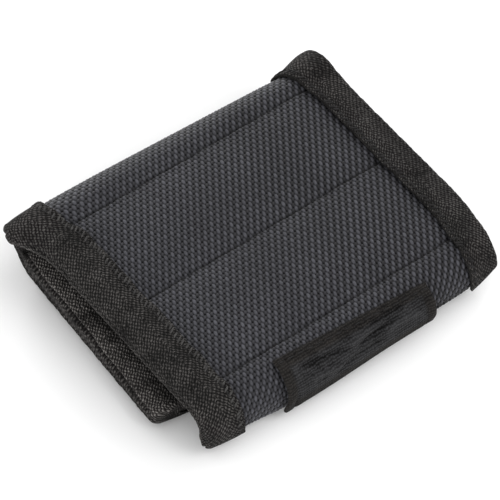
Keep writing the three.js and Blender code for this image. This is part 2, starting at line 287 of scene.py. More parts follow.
FOLD_BEND = {"cover": 2.9, "lining": 1.9, "tape": 1.2}
CURL_BEND = {"cover": 2.7, "lining": 1.35, "tape": 1.05}
NEAR_CURL = CURL_START - CURL_LENGTH / 4
MID_CURL = CURL_START - CURL_LENGTH / 2
SECTIONS = [
    Section("lower", "lower_leaf", "fold_1", level(TAIL_END), fold_line(5), 6 * FOLD_STEP, True, FOLD_BEND),
    Section("fold_low", "fold_1", "fold_2", fold_line(5), fold_line(3), 4 * FOLD_STEP, True, FOLD_BEND),
    Section("fold_high", "fold_2", "fold_3", fold_line(3), fold_line(1), 2 * FOLD_STEP, True, FOLD_BEND),
    Section("rear", "fold_3", "top_leaf", fold_line(1), level(MIDDLE_CHANNEL), 0.0, True, FOLD_BEND),
    Section("front", "top_leaf", "front_1", level(MIDDLE_CHANNEL), level(NEAR_CURL), CURL_START, False,
            CURL_BEND),
    Section("curl", "front_1", "front_2", level(NEAR_CURL), front_end, MID_CURL, False, CURL_BEND),
]
# The solids under each section
COVERED = {
    "lower": ["lower_{}", "fold_{}_1"],
    "fold_low": [],
    "fold_high": ["fold_{}_2"],
    "rear": ["fold_{}_3", "top_{}"],
    "front": ["front_{}_1"],
    "curl": ["front_{}_2"],
}
THIN_ROW = 0.02


def solids(section, layer):
    return [name.format(layer) for name in COVERED[section.name]]


def ended(section, front):
    """A section of cloth, which stops short of the tape at the tail, and where it is told to at the front."""
    if section.name == "curl":
        return section._replace(end=front)
    return section._replace(start=level(CLOTH_END)) if section.name == "lower" else section


def bend(piece, section, layer):
    """Lets a piece bend over its section's hinge."""
    s = section.hinge / SKEW_COS if section.skewed else section.hinge
    # Bakes a piece's placement into its mesh. Its section's hinge point and direction are worked out, but not
    # used.
    step = (SKEW_SIN, SKEW_COS) if section.skewed else (0.0, 1.0)
    at = rolled(0, s, HINGE_HEIGHT) + SHIFT
    along = rolled(step[0], s + step[1], HINGE_HEIGHT) - rolled(-step[0], s - step[1], HINGE_HEIGHT)
    along = along / np.linalg.norm(along) * section.reach[layer]
    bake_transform(piece)


def section_length(section):
    return float(section.start(0.0) - section.end(0.0))


def rows_of(section, x, count):
    """Rows of s over a section. The outermost are thin, so that its shading runs on into the next one's."""
    thin = THIN_ROW / section_length(section)
    t = np.concatenate([[0], np.linspace(thin, 1 - thin, count - 2), [1]])[:, None]
    return (1 - t) * section.start(x) + t * section.end(x)


# Meshes
def volume(points, faces):
    total = 0.0
    for face in faces:
        a = points[face[:, 0]]
        for i in range(1, face.shape[1] - 1):
            total += np.einsum("ij,ij->", a, np.cross(points[face[:, i]], points[face[:, i + 1]]))
    return total


def placed(name, data):
    """A new object at the origin."""
    piece = bpy.data.objects.new(name, data)
    bpy.context.collection.objects.link(piece)
    return piece


def make_mesh(name, points, quads, polygons, shown, uv, attributes=None):
    """A closed mesh: quads, of which the first few are smooth, and flat polygons of any size."""
    groups = [quads] + [np.array([p]) for p in polygons]
    if volume(points, groups) < 0:
        quads = quads[:, ::-1]
        polygons = [p[::-1] for p in polygons]
    loops = np.concatenate([quads.ravel()] + [np.array(p) for p in polygons]).astype(np.int32)
    sizes = np.array([4] * len(quads) + [len(p) for p in polygons])
    starts = np.concatenate([[0], np.cumsum(sizes)[:-1]]).astype(np.int32)
    mesh = bpy.data.meshes.new(name)
    mesh.vertices.add(len(points))
    mesh.vertices.foreach_set("co", points.astype(np.float32).ravel())
    mesh.loops.add(len(loops))
    mesh.loops.foreach_set("vertex_index", loops)
    mesh.polygons.add(len(sizes))
    mesh.polygons.foreach_set("loop_start", starts)
    mesh.polygons.foreach_set("use_smooth", np.arange(len(sizes)) < shown)
    mesh.update(calc_edges=True)
    layer = mesh.uv_layers.new(name="Cloth")
    layer.data.foreach_set("uv", uv[loops].astype(np.float32).ravel())
    for key, values in (attributes or {}).items():
        made = mesh.attributes.new(key, "FLOAT", "POINT")
        made.data.foreach_set("value", values.astype(np.float32))
    return placed(name, mesh)


def grid_faces(ids):
    return np.stack([ids[:-1, :-1], ids[:-1, 1:], ids[1:, 1:], ids[1:, :-1]], -1).reshape(-1, 4)


def cloth(name, shown, hidden, kept, uv, attributes=None):
    """A thin cloth: a shown grid of points, and a hidden face on those of its rows that are kept."""
    rows, cols = shown.shape[:2]
    base = rows * cols
    ids = np.arange(base).reshape(rows, cols)
    under = base + np.arange(len(kept) * cols).reshape(len(kept), cols)
    front = grid_faces(ids)
    back = grid_faces(under)[:, [0, 3, 2, 1]]
    near = np.stack([ids[0, 1:], ids[0, :-1], under[0, :-1], under[0, 1:]], -1)
    far = np.stack([ids[-1, :-1], ids[-1, 1:], under[-1, 1:], under[-1, :-1]], -1)
    sides = []
    for k in range(len(kept) - 1):
        span = range(kept[k], kept[k + 1] + 1)
        sides.append([ids[r, 0] for r in span] + [under[k + 1, 0], under[k, 0]])
        sides.append([ids[r, -1] for r in reversed(span)] + [under[k, -1], under[k + 1, -1]])
    points = np.concatenate([shown.reshape(-1, 3), hidden.reshape(-1, 3)])
    both = np.concatenate([uv.reshape(-1, 2), uv[kept].reshape(-1, 2)])
    extra = {}
    for key, values in (attributes or {}).items():
        extra[key] = np.concatenate([values.ravel(), values[kept].ravel()])
    quads = np.concatenate([front, back, near, far])
    return make_mesh(name, points, quads, sides, len(front) + len(back), both, extra)


def tube(name, rings, uv, attributes):
    """A closed body through rings of points."""
    count, around = rings.shape[:2]
    ids = np.arange(count * around).reshape(count, around)
    ahead = np.roll(ids, -1, 1)
    quads = np.stack([ids[:-1], ahead[:-1], ahead[1:], ids[1:]], -1).reshape(-1, 4)
    caps = [list(ids[0][::-1]), list(ids[-1])]
    extra = {key: values.ravel() for key, values in attributes.items()}
    return make_mesh(name, rings.reshape(-1, 3), quads, caps, len(quads), uv.reshape(-1, 2), extra)


def kept_rows(count, spacing):
    kept = list(range(0, count - 1, spacing))
    if len(kept) > 1 and count - 1 - kept[-1] < spacing / 2:
        kept.pop()
    return kept + [count - 1]


MAP_SIZE = 100


def flat_map(x, s):
    """The cloth's own map, a tenth of a metre to 1."""
    x, s = np.broadcast_arrays(x, s)
    return np.stack([x, s], -1) / MAP_SIZE


# Node trees
FLOAT = "NodeSocketFloat"
VECTOR = "NodeSocketVector"


def add(tree, kind, inputs, **settings):
    """A node with its settings made, and its inputs linked or set."""
    node = tree.nodes.new(kind)
    for key, value in settings.items():
        setattr(node, key, value)
    for key, value in inputs.items():
        if isinstance(value, bpy.types.NodeSocket):
            tree.links.new(value, node.inputs[key])
        else:
            node.inputs[key].default_value = value
    return node


def new_tree(name, kind, inputs, output):
    """A node group with named inputs, each with its kind and maybe its value, and one output."""
    tree = bpy.data.node_groups.new(name, kind)
    for label, socket_kind, *value in inputs:
        socket = tree.interface.new_socket(name=label, in_out="INPUT", socket_type=socket_kind)
        if value:
            socket.default_value = value[0]
    tree.interface.new_socket(name=output[0], in_out="OUTPUT", socket_type=output[1])
    return tree, tree.nodes.new("NodeGroupInput").outputs, tree.nodes.new("NodeGroupOutput").inputs[0]


# Shared shader effects
def math_node(tree, operation, first, second=0.0):
    return add(tree, "ShaderNodeMath", {0: first, 1: second}, operation=operation).outputs[0]


def scaled(tree, value, factor, plus):
    return math_node(tree, "ADD", math_node(tree, "MULTIPLY", value, factor), plus)


def noise(tree, vector, scale, detail):
    inputs = {"Vector": vector, "Scale": scale, "Detail": detail}
    return add(tree, "ShaderNodeTexNoise", inputs).outputs["Fac"]


def fibre_group():
    """Uneven tone of spun yarn: broad patches and fine flecks, about 0.5."""
    inputs = [("Vector", VECTOR), ("Patch", FLOAT, 90.0), ("Fleck", FLOAT, 2200.0)]
    tree, given, result = new_tree("Fibre tone", "ShaderNodeTree", inputs, ("Tone", FLOAT))
    patch = noise(tree, given["Vector"], given["Patch"], 3)
    fleck = noise(tree, given["Vector"], given["Fleck"], 2)
    both = math_node(tree, "ADD", patch, fleck)
    tree.links.new(math_node(tree, "MULTIPLY", both, 0.5), result)
    return tree


NO_FOLD = -10.0
STRAY_SCALE = 85.0
MAP_MILLIMETRE = 1 / MAP_SIZE


def rib_group():
    """Slanted ribs on a cloth's own map, with their pitch in millimetres.

    They wander, and turn back at the cloth's fold.
    """
    inputs = [("Map", VECTOR), ("Pitch", FLOAT, 0.6), ("Slant", FLOAT, 1.0), ("Fold", FLOAT, NO_FOLD),
              ("Wander", FLOAT, 0.0)]
    tree, given, result = new_tree("Slanted ribs", "ShaderNodeTree", inputs, ("Height", FLOAT))
    split = add(tree, "ShaderNodeSeparateXYZ", {0: given["Map"]}).outputs
    slanted = math_node(tree, "MULTIPLY", split["Y"], given["Slant"])
    from_fold = math_node(tree, "SUBTRACT", split["X"], given["Fold"])
    straight = math_node(tree, "ADD", math_node(tree, "ABSOLUTE", from_fold), slanted)
    uneven = math_node(tree, "SUBTRACT", noise(tree, given["Map"], STRAY_SCALE, 2), 0.5)
    wander = math_node(tree, "MULTIPLY", given["Wander"], MAP_MILLIMETRE)
    place = math_node(tree, "ADD", straight, math_node(tree, "MULTIPLY", uneven, wander))
    turns = math_node(tree, "MULTIPLY", place, 2 * math.pi / MAP_MILLIMETRE)
    wave = math_node(tree, "SINE", math_node(tree, "DIVIDE", turns, given["Pitch"]))
    tree.links.new(scaled(tree, wave, factor=0.5, plus=0.5), result)
    return tree


SHARED = {}


def shared(tree, maker, inputs):
    """A shared effect, built once and placed in a material."""
    if maker not in SHARED:
        SHARED[maker] = maker()
    return add(tree, "ShaderNodeGroup", inputs, node_tree=SHARED[maker]).outputs[0]


def fibre(tree, patch, fleck, low=0.0, high=1.0):
    """A fibre tone from 0 at low to 1 at high."""
    place = add(tree, "ShaderNodeTexCoord", {}).outputs["Object"]
    tone = shared(tree, fibre_group, {"Patch": patch, "Fleck": fleck, "Vector": place})
    return stretched(tree, tone, low, high)


def ribs(tree, pitch, slant, fold=NO_FOLD, wander=0.0):
    place = add(tree, "ShaderNodeUVMap", {}, uv_map="Cloth").outputs["UV"]
    inputs = {"Wander": wander, "Fold": fold, "Pitch": pitch, "Slant": slant, "Map": place}
    return shared(tree, rib_group, inputs)


def attribute(tree, name):
    return add(tree, "ShaderNodeAttribute", {}, attribute_name=name).outputs["Fac"]


def stretched(tree, value, low, high):
    inputs = {"From Min": low, "From Max": high, "Value": value}
    return add(tree, "ShaderNodeMapRange", inputs).outputs["Result"]


def mixed(tree, factor, low, high, **settings):
    """A colour between two, by a factor from the surface."""
    low, high = [c if isinstance(c, bpy.types.NodeSocket) else (*c[:3], 1) for c in (low, high)]
    inputs = {"Factor": factor, 6: low, 7: high}
    return add(tree, "ShaderNodeMix", inputs, data_type="RGBA", **settings).outputs[2]


# Finishes
def new_material(name, roughness, sheen=0.0, gloss=0.5):
    material = bpy.data.materials.new(name)
    material.use_nodes = True
    tree = material.node_tree
    shader = tree.nodes["Principled BSDF"].inputs
    shader["Roughness"].default_value = roughness
    shader["Specular IOR Level"].default_value = gloss
    shader["Sheen Weight"].default_value = sheen
    shader["Sheen Roughness"].default_value = 0.4
    return material, tree, shader


def bumped(tree, shader, height, strength, depth):
    """Fine relief, with its depth in millimetres."""
    inputs = {"Strength": strength, "Distance": depth * MM, "Height": height}
    tree.links.new(add(tree, "ShaderNodeBump", inputs).outputs["Normal"], shader["Normal"])


def cover_material(colours):
    """Coarse plain weave: painted shade in its gaps by the weave's depth and on the duller weft, so that the
    warp stands brighter, painted shade in the sewn grooves and at the curl's turned end, and fine filaments
    along each yarn.
    """
    material, tree, shader = new_material("Cover weave", roughness=0.6, sheen=0.13, gloss=0.12)
    # The weft's colour is its own darkened with painted shade; the warp share also carries the weft's painted
    # light on the left.
    warp = mixed(tree, attribute(tree, "warp"), colours.cover_weft, colours.cover_warp)
    tone = fibre(tree, patch=70.0, fleck=2600.0, low=0.3, high=0.7)
    body = mixed(tree, 0.5, warp, mixed(tree, tone, colours.cover_gap, warp))
    # Painted shade: the colour darkens towards the gap colour where the weave lies low.
    depth = stretched(tree, attribute(tree, "weave"), low=0.27, high=0.83)
    painted_gap_shade = mixed(tree, depth, colours.cover_gap, body)
    # Painted shade: the sewn grooves and the curl's turned end are darkened towards the gap colour.
    sewn = mixed(tree, attribute(tree, "painted_shade"), painted_gap_shade, colours.cover_gap)
    tree.links.new(sewn, shader["Base Color"])
    rough = stretched(tree, attribute(tree, "weave"), low=1.0, high=0.0)
    tree.links.new(scaled(tree, rough, factor=0.4, plus=0.45), shader["Roughness"])
    along = ribs(tree, pitch=0.16, slant=0.0)
    across = ribs(tree, pitch=1000.0, slant=6200.0)
    lines = add(tree, "ShaderNodeMix", {"Factor": attribute(tree, "warp"), 2: across, 3: along}).outputs[0]
    bumped(tree, shader, lines, strength=0.35, depth=0.06)
    return material


# A ribbed cloth. rib and cross are the pitch and the slant of its two sets of rows.
Weave = namedtuple("Weave", "name dark light rib cross fold depth")
WANDER = 1.3
# Painted light: how much lighter the tape's inside face is painted.
INSIDE_PAINTED_LIGHT = 2.8


def woven_material(weave):
    """Ribbed or twilled cloth: floats in rows, with dark gaps and loose fibres, painted light on the tape's
    inside face, and painted shade in the tape's crease.
    """
    material, tree, shader = new_material(weave.name, roughness=0.85, sheen=0.02, gloss=0.1)
    rib = ribs(tree, *weave.rib, weave.fold, WANDER)
    cross = ribs(tree, *weave.cross, weave.fold, WANDER)
    raised = math_node(tree, "MULTIPLY", rib, scaled(tree, cross, factor=0.85, plus=0.15))
    tone = fibre(tree, patch=160.0, fleck=1300.0, low=0.34, high=0.66)
    lit = math_node(tree, "MULTIPLY", raised, scaled(tree, tone, factor=1.5, plus=0.1))
    outside = mixed(tree, lit, weave.dark, weave.light)
    # Painted light: the tape's inside face is painted lighter.
    painted_light = mixed(tree, attribute(tree, "inside"), outside, (INSIDE_PAINTED_LIGHT,) * 3, blend_type="MULTIPLY")
    # Painted shade in the crease of the lower leaf's left tape.
    tree.links.new(mixed(tree, attribute(tree, "painted_shade"), painted_light, weave.dark), shader["Base Color"])
    fuzzy = math_node(tree, "ADD", raised, math_node(tree, "MULTIPLY", tone, 0.6))
    bumped(tree, shader, fuzzy, strength=1.0, depth=weave.depth)
    return material


def tab_material(colours):
    """Fine close weave, rubbed grey in patches, with painted shade in its creases and painted highlight on
    their crests.
    """
    material, tree, shader = new_material("Tab weave", roughness=0.85, sheen=0.02, gloss=0.1)
    columns = ribs(tree, pitch=1000.0, slant=1450.0, wander=1300.0)
    rows = ribs(tree, pitch=0.62, slant=0.0, wander=0.9)
    grid = math_node(tree, "MULTIPLY", scaled(tree, columns, factor=0.6, plus=0.4), rows)
    rubbed = fibre(tree, patch=230.0, fleck=1300.0, low=0.36, high=0.64)
    shade = scaled(tree, grid, factor=0.65, plus=math_node(tree, "MULTIPLY", rubbed, 0.42))
    # Painted shade in the creases' valleys and painted highlight on their crests, by the crease height.
    creased = math_node(tree, "SUBTRACT", attribute(tree, "crease"), 0.5)
    shade = math_node(tree, "ADD", shade, math_node(tree, "MULTIPLY", creased, 0.6))
    light = mixed(tree, attribute(tree, "hem"), colours.tab_light, colours.tab_hem)
    tree.links.new(mixed(tree, shade, colours.tab_dark, light), shader["Base Color"])
    fuzzy = math_node(tree, "ADD", grid, math_node(tree, "MULTIPLY", rubbed, 0.7))
    bumped(tree, shader, fuzzy, strength=1.0, depth=0.14)
    return material


def thread_material(name, dark, light):
    """Twisted sewing thread."""
    material, tree, shader = new_material(name, roughness=0.7, sheen=0.02, gloss=0.2)
    tone = fibre(tree, patch=900.0, fleck=6000.0, low=0.35, high=0.65)
    tree.links.new(mixed(tree, tone, dark, light), shader["Base Color"])
    bumped(tree, shader, tone, strength=0.5, depth=0.05)
    return material


def pile_material(name, dark, light, roughness):
    """Matted pile or foam."""
    material, tree, shader = new_material(name, roughness, sheen=0.02, gloss=0.2)
    tone = fibre(tree, patch=400.0, fleck=3000.0, low=0.3, high=0.7)
    tree.links.new(mixed(tree, tone, dark, light), shader["Base Color"])
    bumped(tree, shader, tone, strength=0.8, depth=0.3)
    return material


def nickel_material(colours):
    """Plated magnets with faint handling marks."""
    material, tree, shader = new_material("Nickel plate", roughness=0.3)
    shader["Metallic"].default_value = 1.0
    tone = fibre(tree, patch=200.0, fleck=1500.0, low=0.3, high=0.7)
    tree.links.new(mixed(tree, tone, colours.nickel, colours.nickel_worn), shader["Base Color"])
    tree.links.new(scaled(tree, tone, factor=0.2, plus=0.2), shader["Roughness"])
    return material


def floor_material(colours):
    """A plain floor, with a faint unevenness."""
    material, tree, shader = new_material("Pale floor", roughness=0.9)
    shade = tuple(0.97 * c for c in colours.floor)
    tone = fibre(tree, patch=3.0, fleck=40.0)
    tree.links.new(mixed(tree, tone, shade, colours.floor), shader["Base Color"])
    return material


TWILL_FOLD = 0.045
FINISHES = {}


def made_finish(name, colours):
    if name == "cover":
        return cover_material(colours)
    if name == "tape":
        return woven_material(Weave("Binding twill", colours.tape_dark, colours.tape_light, (0.9, 0.9),
                                    (1.15, -0.75), TWILL_FOLD, 0.3))
    if name == "lining":
        return woven_material(Weave("Lining knit", colours.lining_dark, colours.lining_light, (0.9, 1.0),
                                    (0.9, -1.0), NO_FOLD, 0.2))
    if name == "tab":
        return tab_material(colours)
    if name == "thread":
        return thread_material("Thread", colours.tape_dark, colours.thread)
    if name == "selvedge":
        return thread_material("Selvedge", colours.tape_dark, colours.selvedge)
    if name == "loop":
        return pile_material("Loop pile", colours.tape_dark, colours.tape_light, roughness=0.95)
    if name == "hook":
        return pile_material("Hook nylon", colours.tab_dark, colours.tab_light, roughness=0.5)
    if name == "foam":
        return pile_material("Foam", colours.foam, colours.foam_light, roughness=1.0)
    if name == "nickel":
        return nickel_material(colours)
    return floor_material(colours)


def finish(name):
    """The finish of a piece, made the first time that it is asked for."""
    if name not in FINISHES:
        FINISHES[name] = made_finish(name, bpy.context.scene.wristband_colours)
    return FINISHES[name]


def dress(piece, look, replaced):
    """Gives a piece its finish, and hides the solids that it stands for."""
    piece.data.materials.append(finish(look))
    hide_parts(*replaced)


def length(name, description, millimetres):
    return FloatProperty(name=name, description=description, default=millimetres * MM, unit="LENGTH",
                         precision=5)


def colour(name, description, value):
    return FloatVectorProperty(name=name, description=description, default=value, size=3, subtype="COLOR",
                               min=0.0, max=1.0)


class BandSizes(bpy.types.PropertyGroup):
    """Sizes of the cloth's detail."""

    weave_across: length("Weave across", "Spacing of the warp yarns", 0.94)
    weave_along: length("Weave along", "Spacing of the weft yarns", 1.31)
    weave_rise: length("Weave rise", "How far a yarn rises over the one it crosses", 0.13)
    yarn_round: length("Yarn roundness", "Crown of one yarn", 0.2)
    crown: length("Pocket crown", "How far a filled pocket stands up", 0.55)
    pucker: length("Pucker", "Ripples that the sewn lines draw in", 0.22)
    tape_ripple: length("Tape ripple", "Ripples of the binding tape", 0.28)
    crease: length("Tab crease", "Depth of the closing tab's creases", 0.7)
    stitch_pitch: length("Stitch pitch", "From one stitch to the next", 2.7)
    stitch_length: length("Stitch length", "Length of a stitch", 2.1)
    thread: length("Thread", "Thickness of the sewing thread", 0.42)
    loop_length: length("Selvedge loop", "Length of a loop along the tape's inner edge", 1.9)
    loop_thread: length("Selvedge thread", "Thickness of a loop along the tape's inner edge", 0.6)
    hook_height: length("Hook height", "Height of the hooks under the closing tab", 0.45)


class BandColours(bpy.types.PropertyGroup):
    """Colours of the band's finishes."""

    cover_warp: colour("Cover warp", "Yarns along the band", (0.083, 0.0835, 0.096))
    # The weft's own colour, darkened with painted shade.
    cover_weft: colour("Cover weft", "Yarns across the band", (0.022, 0.0212, 0.023))
    # The gap colour paints shade between the yarns and in the sewn grooves, and is the dark end of the yarns'
    # random tone.
    cover_gap: colour("Cover gap", "Between the yarns", (0.002, 0.002, 0.0025))
    tape_dark: colour("Tape shade", "Dark side of the binding tape", (0.002, 0.0018, 0.0017))
    tape_light: colour("Tape", "Light side of the binding tape", (0.086, 0.0805, 0.0765))
    lining_dark: colour("Lining shade", "Dark side of the lining", (0.004, 0.004, 0.0045))
    lining_light: colour("Lining", "Light side of the lining", (0.035, 0.035, 0.037))
    tab_dark: colour("Tab shade", "Dark side of the closing tab", (0.0018, 0.0017, 0.0017))
    tab_light: colour("Tab", "Light side of the closing tab", (0.041, 0.041, 0.043))
    tab_hem: colour("Tab hem", "The closing tab's turned edges", (0.027, 0.0245, 0.0225))
    thread: colour("Thread", "Sewing thread", (0.014, 0.013, 0.013))
    # The selvedge colour is paler than the thread's, and is given only to the left loops as painted light.
    selvedge: colour("Selvedge", "Loops along the tape's inner edge", (0.066, 0.063, 0.061))
    foam: colour("Foam shade", "Dark side of the pads in the pockets", (0.035, 0.035, 0.036))
    foam_light: colour("Foam", "Light side of the pads in the pockets", (0.08, 0.08, 0.08))
    nickel: colour("Nickel", "Magnets", (0.48, 0.48, 0.47))
    nickel_worn: colour("Worn nickel", "Handling marks on the magnets", (0.62, 0.62, 0.61))
    floor: colour("Floor", "The floor under the band", (0.93, 0.93, 0.93))


# The cover's plain weave: how its yarns lean, slant on top and fill their pitch
WARP_LEAN = 0.029
WEFT_LEAN = 0.049
WARP_STANDS = 0.045
FLOAT_SLANT = 0.36
WARP_FILL = 0.92
WEFT_FILL = 0.66
# Painted light on the weft towards the left: its share, and where it sets in and is full.
WEFT_PAINTED_LIGHT = 0.36
WEFT_PAINTED_LIGHT_ACROSS = (25, -20)
YARN_POWER = 2.5
UNEVEN_RISE = 0.16
UNEVEN_TONE = 0.14
RISE_STEPS = (12.9898, 78.233)
TONE_STEPS = (39.425, 26.117)
WEAVE_SINK = 0.2
WEAVE_TALL = 0.39
WEAVE_FADE = 0.8


def yarns(place, along, rise, crown, first, fill):
    """Height of yarns that fill a share of their pitch. Each goes over and under, and slants on top."""
    best = None
    for number in (np.floor(place), np.floor(place) + 1):
        over = np.where((number + first) % 2 == 0, 1, -1)
        off = place - number - FLOAT_SLANT / np.pi * over * np.sin(np.pi * along)
        height = rise * over * np.cos(np.pi * along) + crown * (1 - np.abs(2 * off / fill) ** YARN_POWER)
        best = height if best is None else np.maximum(best, height)
    return best


def uneven(u, v, steps):
    """A value from -1 to 1 that differs from one crossing of the yarns to the next."""
    return np.sin(np.round(u) * steps[0] + np.round(v) * steps[1])


def weave(x, s, sizes):
    """Height of the weave in millimetres, and how pale it is: the warp on top, and painted light on the weft
    towards the left.
    """
    u = x / (sizes.weave_across / MM) + WARP_LEAN * s
    v = s / (sizes.weave_along / MM) + WEFT_LEAN * x
    rise = sizes.weave_rise / MM * (1 + UNEVEN_RISE * uneven(u, v, RISE_STEPS))
    crown = sizes.yarn_round / MM
    warp = yarns(u, v, rise, crown, 0, WARP_FILL) + WARP_STANDS
    weft = yarns(v, u, rise, crown, 1, WEFT_FILL)
    worn = 1 - UNEVEN_TONE + UNEVEN_TONE * uneven(u, v, TONE_STEPS)
    # Painted light: the weft is painted paler towards the left.
    painted_light = WEFT_PAINTED_LIGHT * ramp(x, *WEFT_PAINTED_LIGHT_ACROSS)
    on_top = ramp(warp - weft, -crown / 4, crown / 4)
    return np.maximum(warp, weft), (painted_light + (1 - painted_light) * on_top) * worn


# The cover over its pockets, at its sewn lines and round the front end
WOVEN_HALF = TAPE_INNER + 2.4
PANEL_POWER = 3
PANEL_FADE = 8
PANEL_ACROSS = (35, 24)
PUCKER_REACH = 3.2
PUCKER_WAVES = (6.1, 8.7, 13.0)
PUCKER_SEED = 40
SEAM_DEPTH = 0.4
SEAM_REACH = 0.4
# Painted shade along the sewn lines and under the curl's turned end: how dark, and how wide.
SEAM_SHADE = 0.7
SEAM_SHADE_REACH = 0.38
END_SHADE = 0.85
END_SHADE_FROM = 0.9
END_SHADE_FADE = 0.8
END_SHADE_ACROSS = (16, 22)
TURNED_IN = 8.0
SIDE_SHORTER = 1.2
ACROSS_STEP = {"lower": 0.25, "fold_low": 0.19, "fold_high": 0.19, "rear": 0.19, "front": 0.19, "curl": 0.19}
ALONG_STEP = {"lower": 0.33, "fold_low": 0.24, "fold_high": 0.22, "rear": 0.22, "front": 0.22, "curl": 0.22}
SIDE_COLUMNS = 5
SIDE_STEP = 1.2
COVER_KEPT = 8


def cover_rest(x, s, sizes):
    """The cover's outside without its weave."""
    line = to_channel(s)
    inner = ramp(np.abs(x), *PANEL_ACROSS)
    panel = 1 - np.abs(np.cos(np.pi * channel_phase(s))) ** PANEL_POWER
    top_leaf = ramp(s, CURL_START, CURL_START + PANEL_FADE) * ramp(s, -1, -1 - PANEL_FADE)
    flat = top_leaf + ramp(s, FOLD_LENGTH, FOLD_LENGTH + PANEL_FADE)
    h = channel_pull(x, s, cover_height(x)) + sizes.crown / MM * panel * inner * flat
    drawn = bell(line, 0, PUCKER_REACH)
    count = np.round(channel_phase(s))
    for k in range(-2, 4):
        ripple = waves(x, PUCKER_SEED + k, PUCKER_WAVES)
        h = h + np.where(count == k, sizes.pucker / MM * ripple * drawn, 0)
    return h - SEAM_DEPTH * bell(line, 0, SEAM_REACH) * (np.abs(x) < WOVEN_HALF)


def cover_columns(step):
    fine = np.linspace(-WOVEN_HALF, WOVEN_HALF, int(2 * WOVEN_HALF / step) + 1)
    side = np.linspace(WOVEN_HALF + SIDE_STEP, CLOTH_HALF, SIDE_COLUMNS)
    return np.concatenate([-side[::-1], fine, side])


def end_turn(x, s, h):
    """Turns cloth that runs past the front end round to the inside."""
    depth = END_ROUND + h
    start = front_end(x) + END_ROUND + SIDE_SHORTER * ramp(np.abs(x), TAPE_INNER + 1, TAPE_INNER + 4)
    past = np.maximum(start - s, 0)
    angle = np.minimum(past / END_ROUND, math.pi)
    straight = past - angle * END_ROUND
    turned_s = start - depth * np.sin(angle) + straight
    turned_h = h - depth + depth * np.cos(angle)
    return np.where(past > 0, turned_s, s), np.where(past > 0, turned_h, h)


class WRISTBAND_OT_cover(bpy.types.Operator):
    """Weaves the outer cover over the leaves, the fold and the curl"""

    bl_idname = "wristband.cover"
    bl_label = "Cover"

    def execute(self, context):
        sizes = context.scene.wristband_sizes
        for section in SECTIONS:
            name = section.name
            run = section_length(section) + (TURNED_IN if name == "curl" else 0)
            section = ended(section, lambda x: front_end(x) - TURNED_IN)
            x = cover_columns(ACROSS_STEP[name])[None, :]
            count = int(run / ALONG_STEP[name]) + 1
            s = rows_of(section, x, count)
            height, warp = weave(x, s, sizes)
            rest = cover_rest(x, s, sizes)
            kept = kept_rows(count, COVER_KEPT)
            outer = rest + (height - WEAVE_SINK) * ramp(np.abs(x), WOVEN_HALF, WOVEN_HALF - WEAVE_FADE)
            inner = (rest - COVER_THICKNESS)[kept]
            outer_s, inner_s = s, s[kept]
            # Painted shade along the sewn lines, where the grooves lie in shade.
            painted_shade = SEAM_SHADE * bell(to_channel(s), 0, SEAM_SHADE_REACH)
            if name == "curl":
                # Painted shade under the curl's turned end, right of the tab.
                edge = front_end(x) + END_ROUND + END_SHADE_FROM
                painted_shade = painted_shade + END_SHADE * ramp(x, *END_SHADE_ACROSS) * ramp(s, edge, edge - END_SHADE_FADE)
                outer_s, outer = end_turn(x, s, outer)
                inner_s, inner = end_turn(x, inner_s, inner)
            piece = cloth(f"cover_{name}", band(x, outer_s, outer), band(x, inner_s, inner), kept,
                          flat_map(x, s), {"weave": height / WEAVE_TALL, "warp": warp, "painted_shade": painted_shade})
            facing = ["front_end_facing"] if name == "curl" else []
            dress(piece, "cover", solids(section, "cover") + facing)
            bend(piece, section, "cover")
        return {"FINISHED"}


# The lining's long lengths, the short ones that go with each, and the pads under them
LINING_LENGTHS = [
    ("lower", ["fold_low"], ["lower_pad_1", "lower_pad_2"]),
    ("rear", ["fold_high"], ["top_pad_1"]),
    ("front", ["curl"], ["top_pad_2"]),
]
LINING_COLUMNS = 160
LINING_STEP = 0.5
LINING_KEPT = 4
RUN_POINTS = 200
LINING_SHORTER = 1.4
KNIT_PITCH = 1.8
KNIT_RISE = 0.08
KNIT_SINK = 0.05


class WRISTBAND_OT_lining(bpy.types.Operator):
    """Lays the knitted lining on the inside of the band"""

    bl_idname = "wristband.lining"
    bl_label = "Lining"

    def execute(self, context):
        x = np.linspace(-CLOTH_HALF, CLOTH_HALF, LINING_COLUMNS)[None, :]
        made = {}
        for section in SECTIONS:
            section = ended(section, lambda x: front_end(x) + LINING_SHORTER)
            count = int(section_length(section) / LINING_STEP) + 1
            s = rows_of(section, x, count)
            h = channel_pull(x, s, lining_height(x) - LINING_THICKNESS)
            knit = KNIT_RISE * np.sin(2 * np.pi * x / KNIT_PITCH) * np.sin(2 * np.pi * s / KNIT_PITCH)
            kept = kept_rows(count, LINING_KEPT)
            under = (h + LINING_THICKNESS)[kept]
            piece = cloth(f"lining_{section.name}", band(x, s, h - KNIT_SINK + knit),
                          band(x, s[kept], under), kept, flat_map(x, s))
            dress(piece, "lining", solids(section, "lining"))
            bend(piece, section, "lining")
            made[section.name] = (piece, section)
        for name, others, pads in LINING_LENGTHS:
            piece, section = made[name]
            inside = band(0.0, rows_of(section, np.zeros(1), RUN_POINTS)[:, 0], lining_height(0.0))
        return {"FINISHED"}


# Binding tape: its profile round an edge
TOP_STEP = 0.28
UNDER_STEP = 0.5
TAPE_ROW = 0.3
EDGE_ROUND = 1.9
EDGE_BLUNT = 0.7
EDGE_POINTS = 42
EDGE_GROOVE = 0.5
EDGE_GROOVE_AT = 0.2
EDGE_GROOVE_REACH = 0.16
EDGE_RIPPLE = 0.22
EDGE_WAVES = (1.9, 3.1, 5.0, 8.0)
EDGE_FADE = 1.5
BORDER_AT = 0.35
BORDER_REACH = 0.45
INSIDE_FROM = (2, 8)
HIDDEN_POINTS = 6


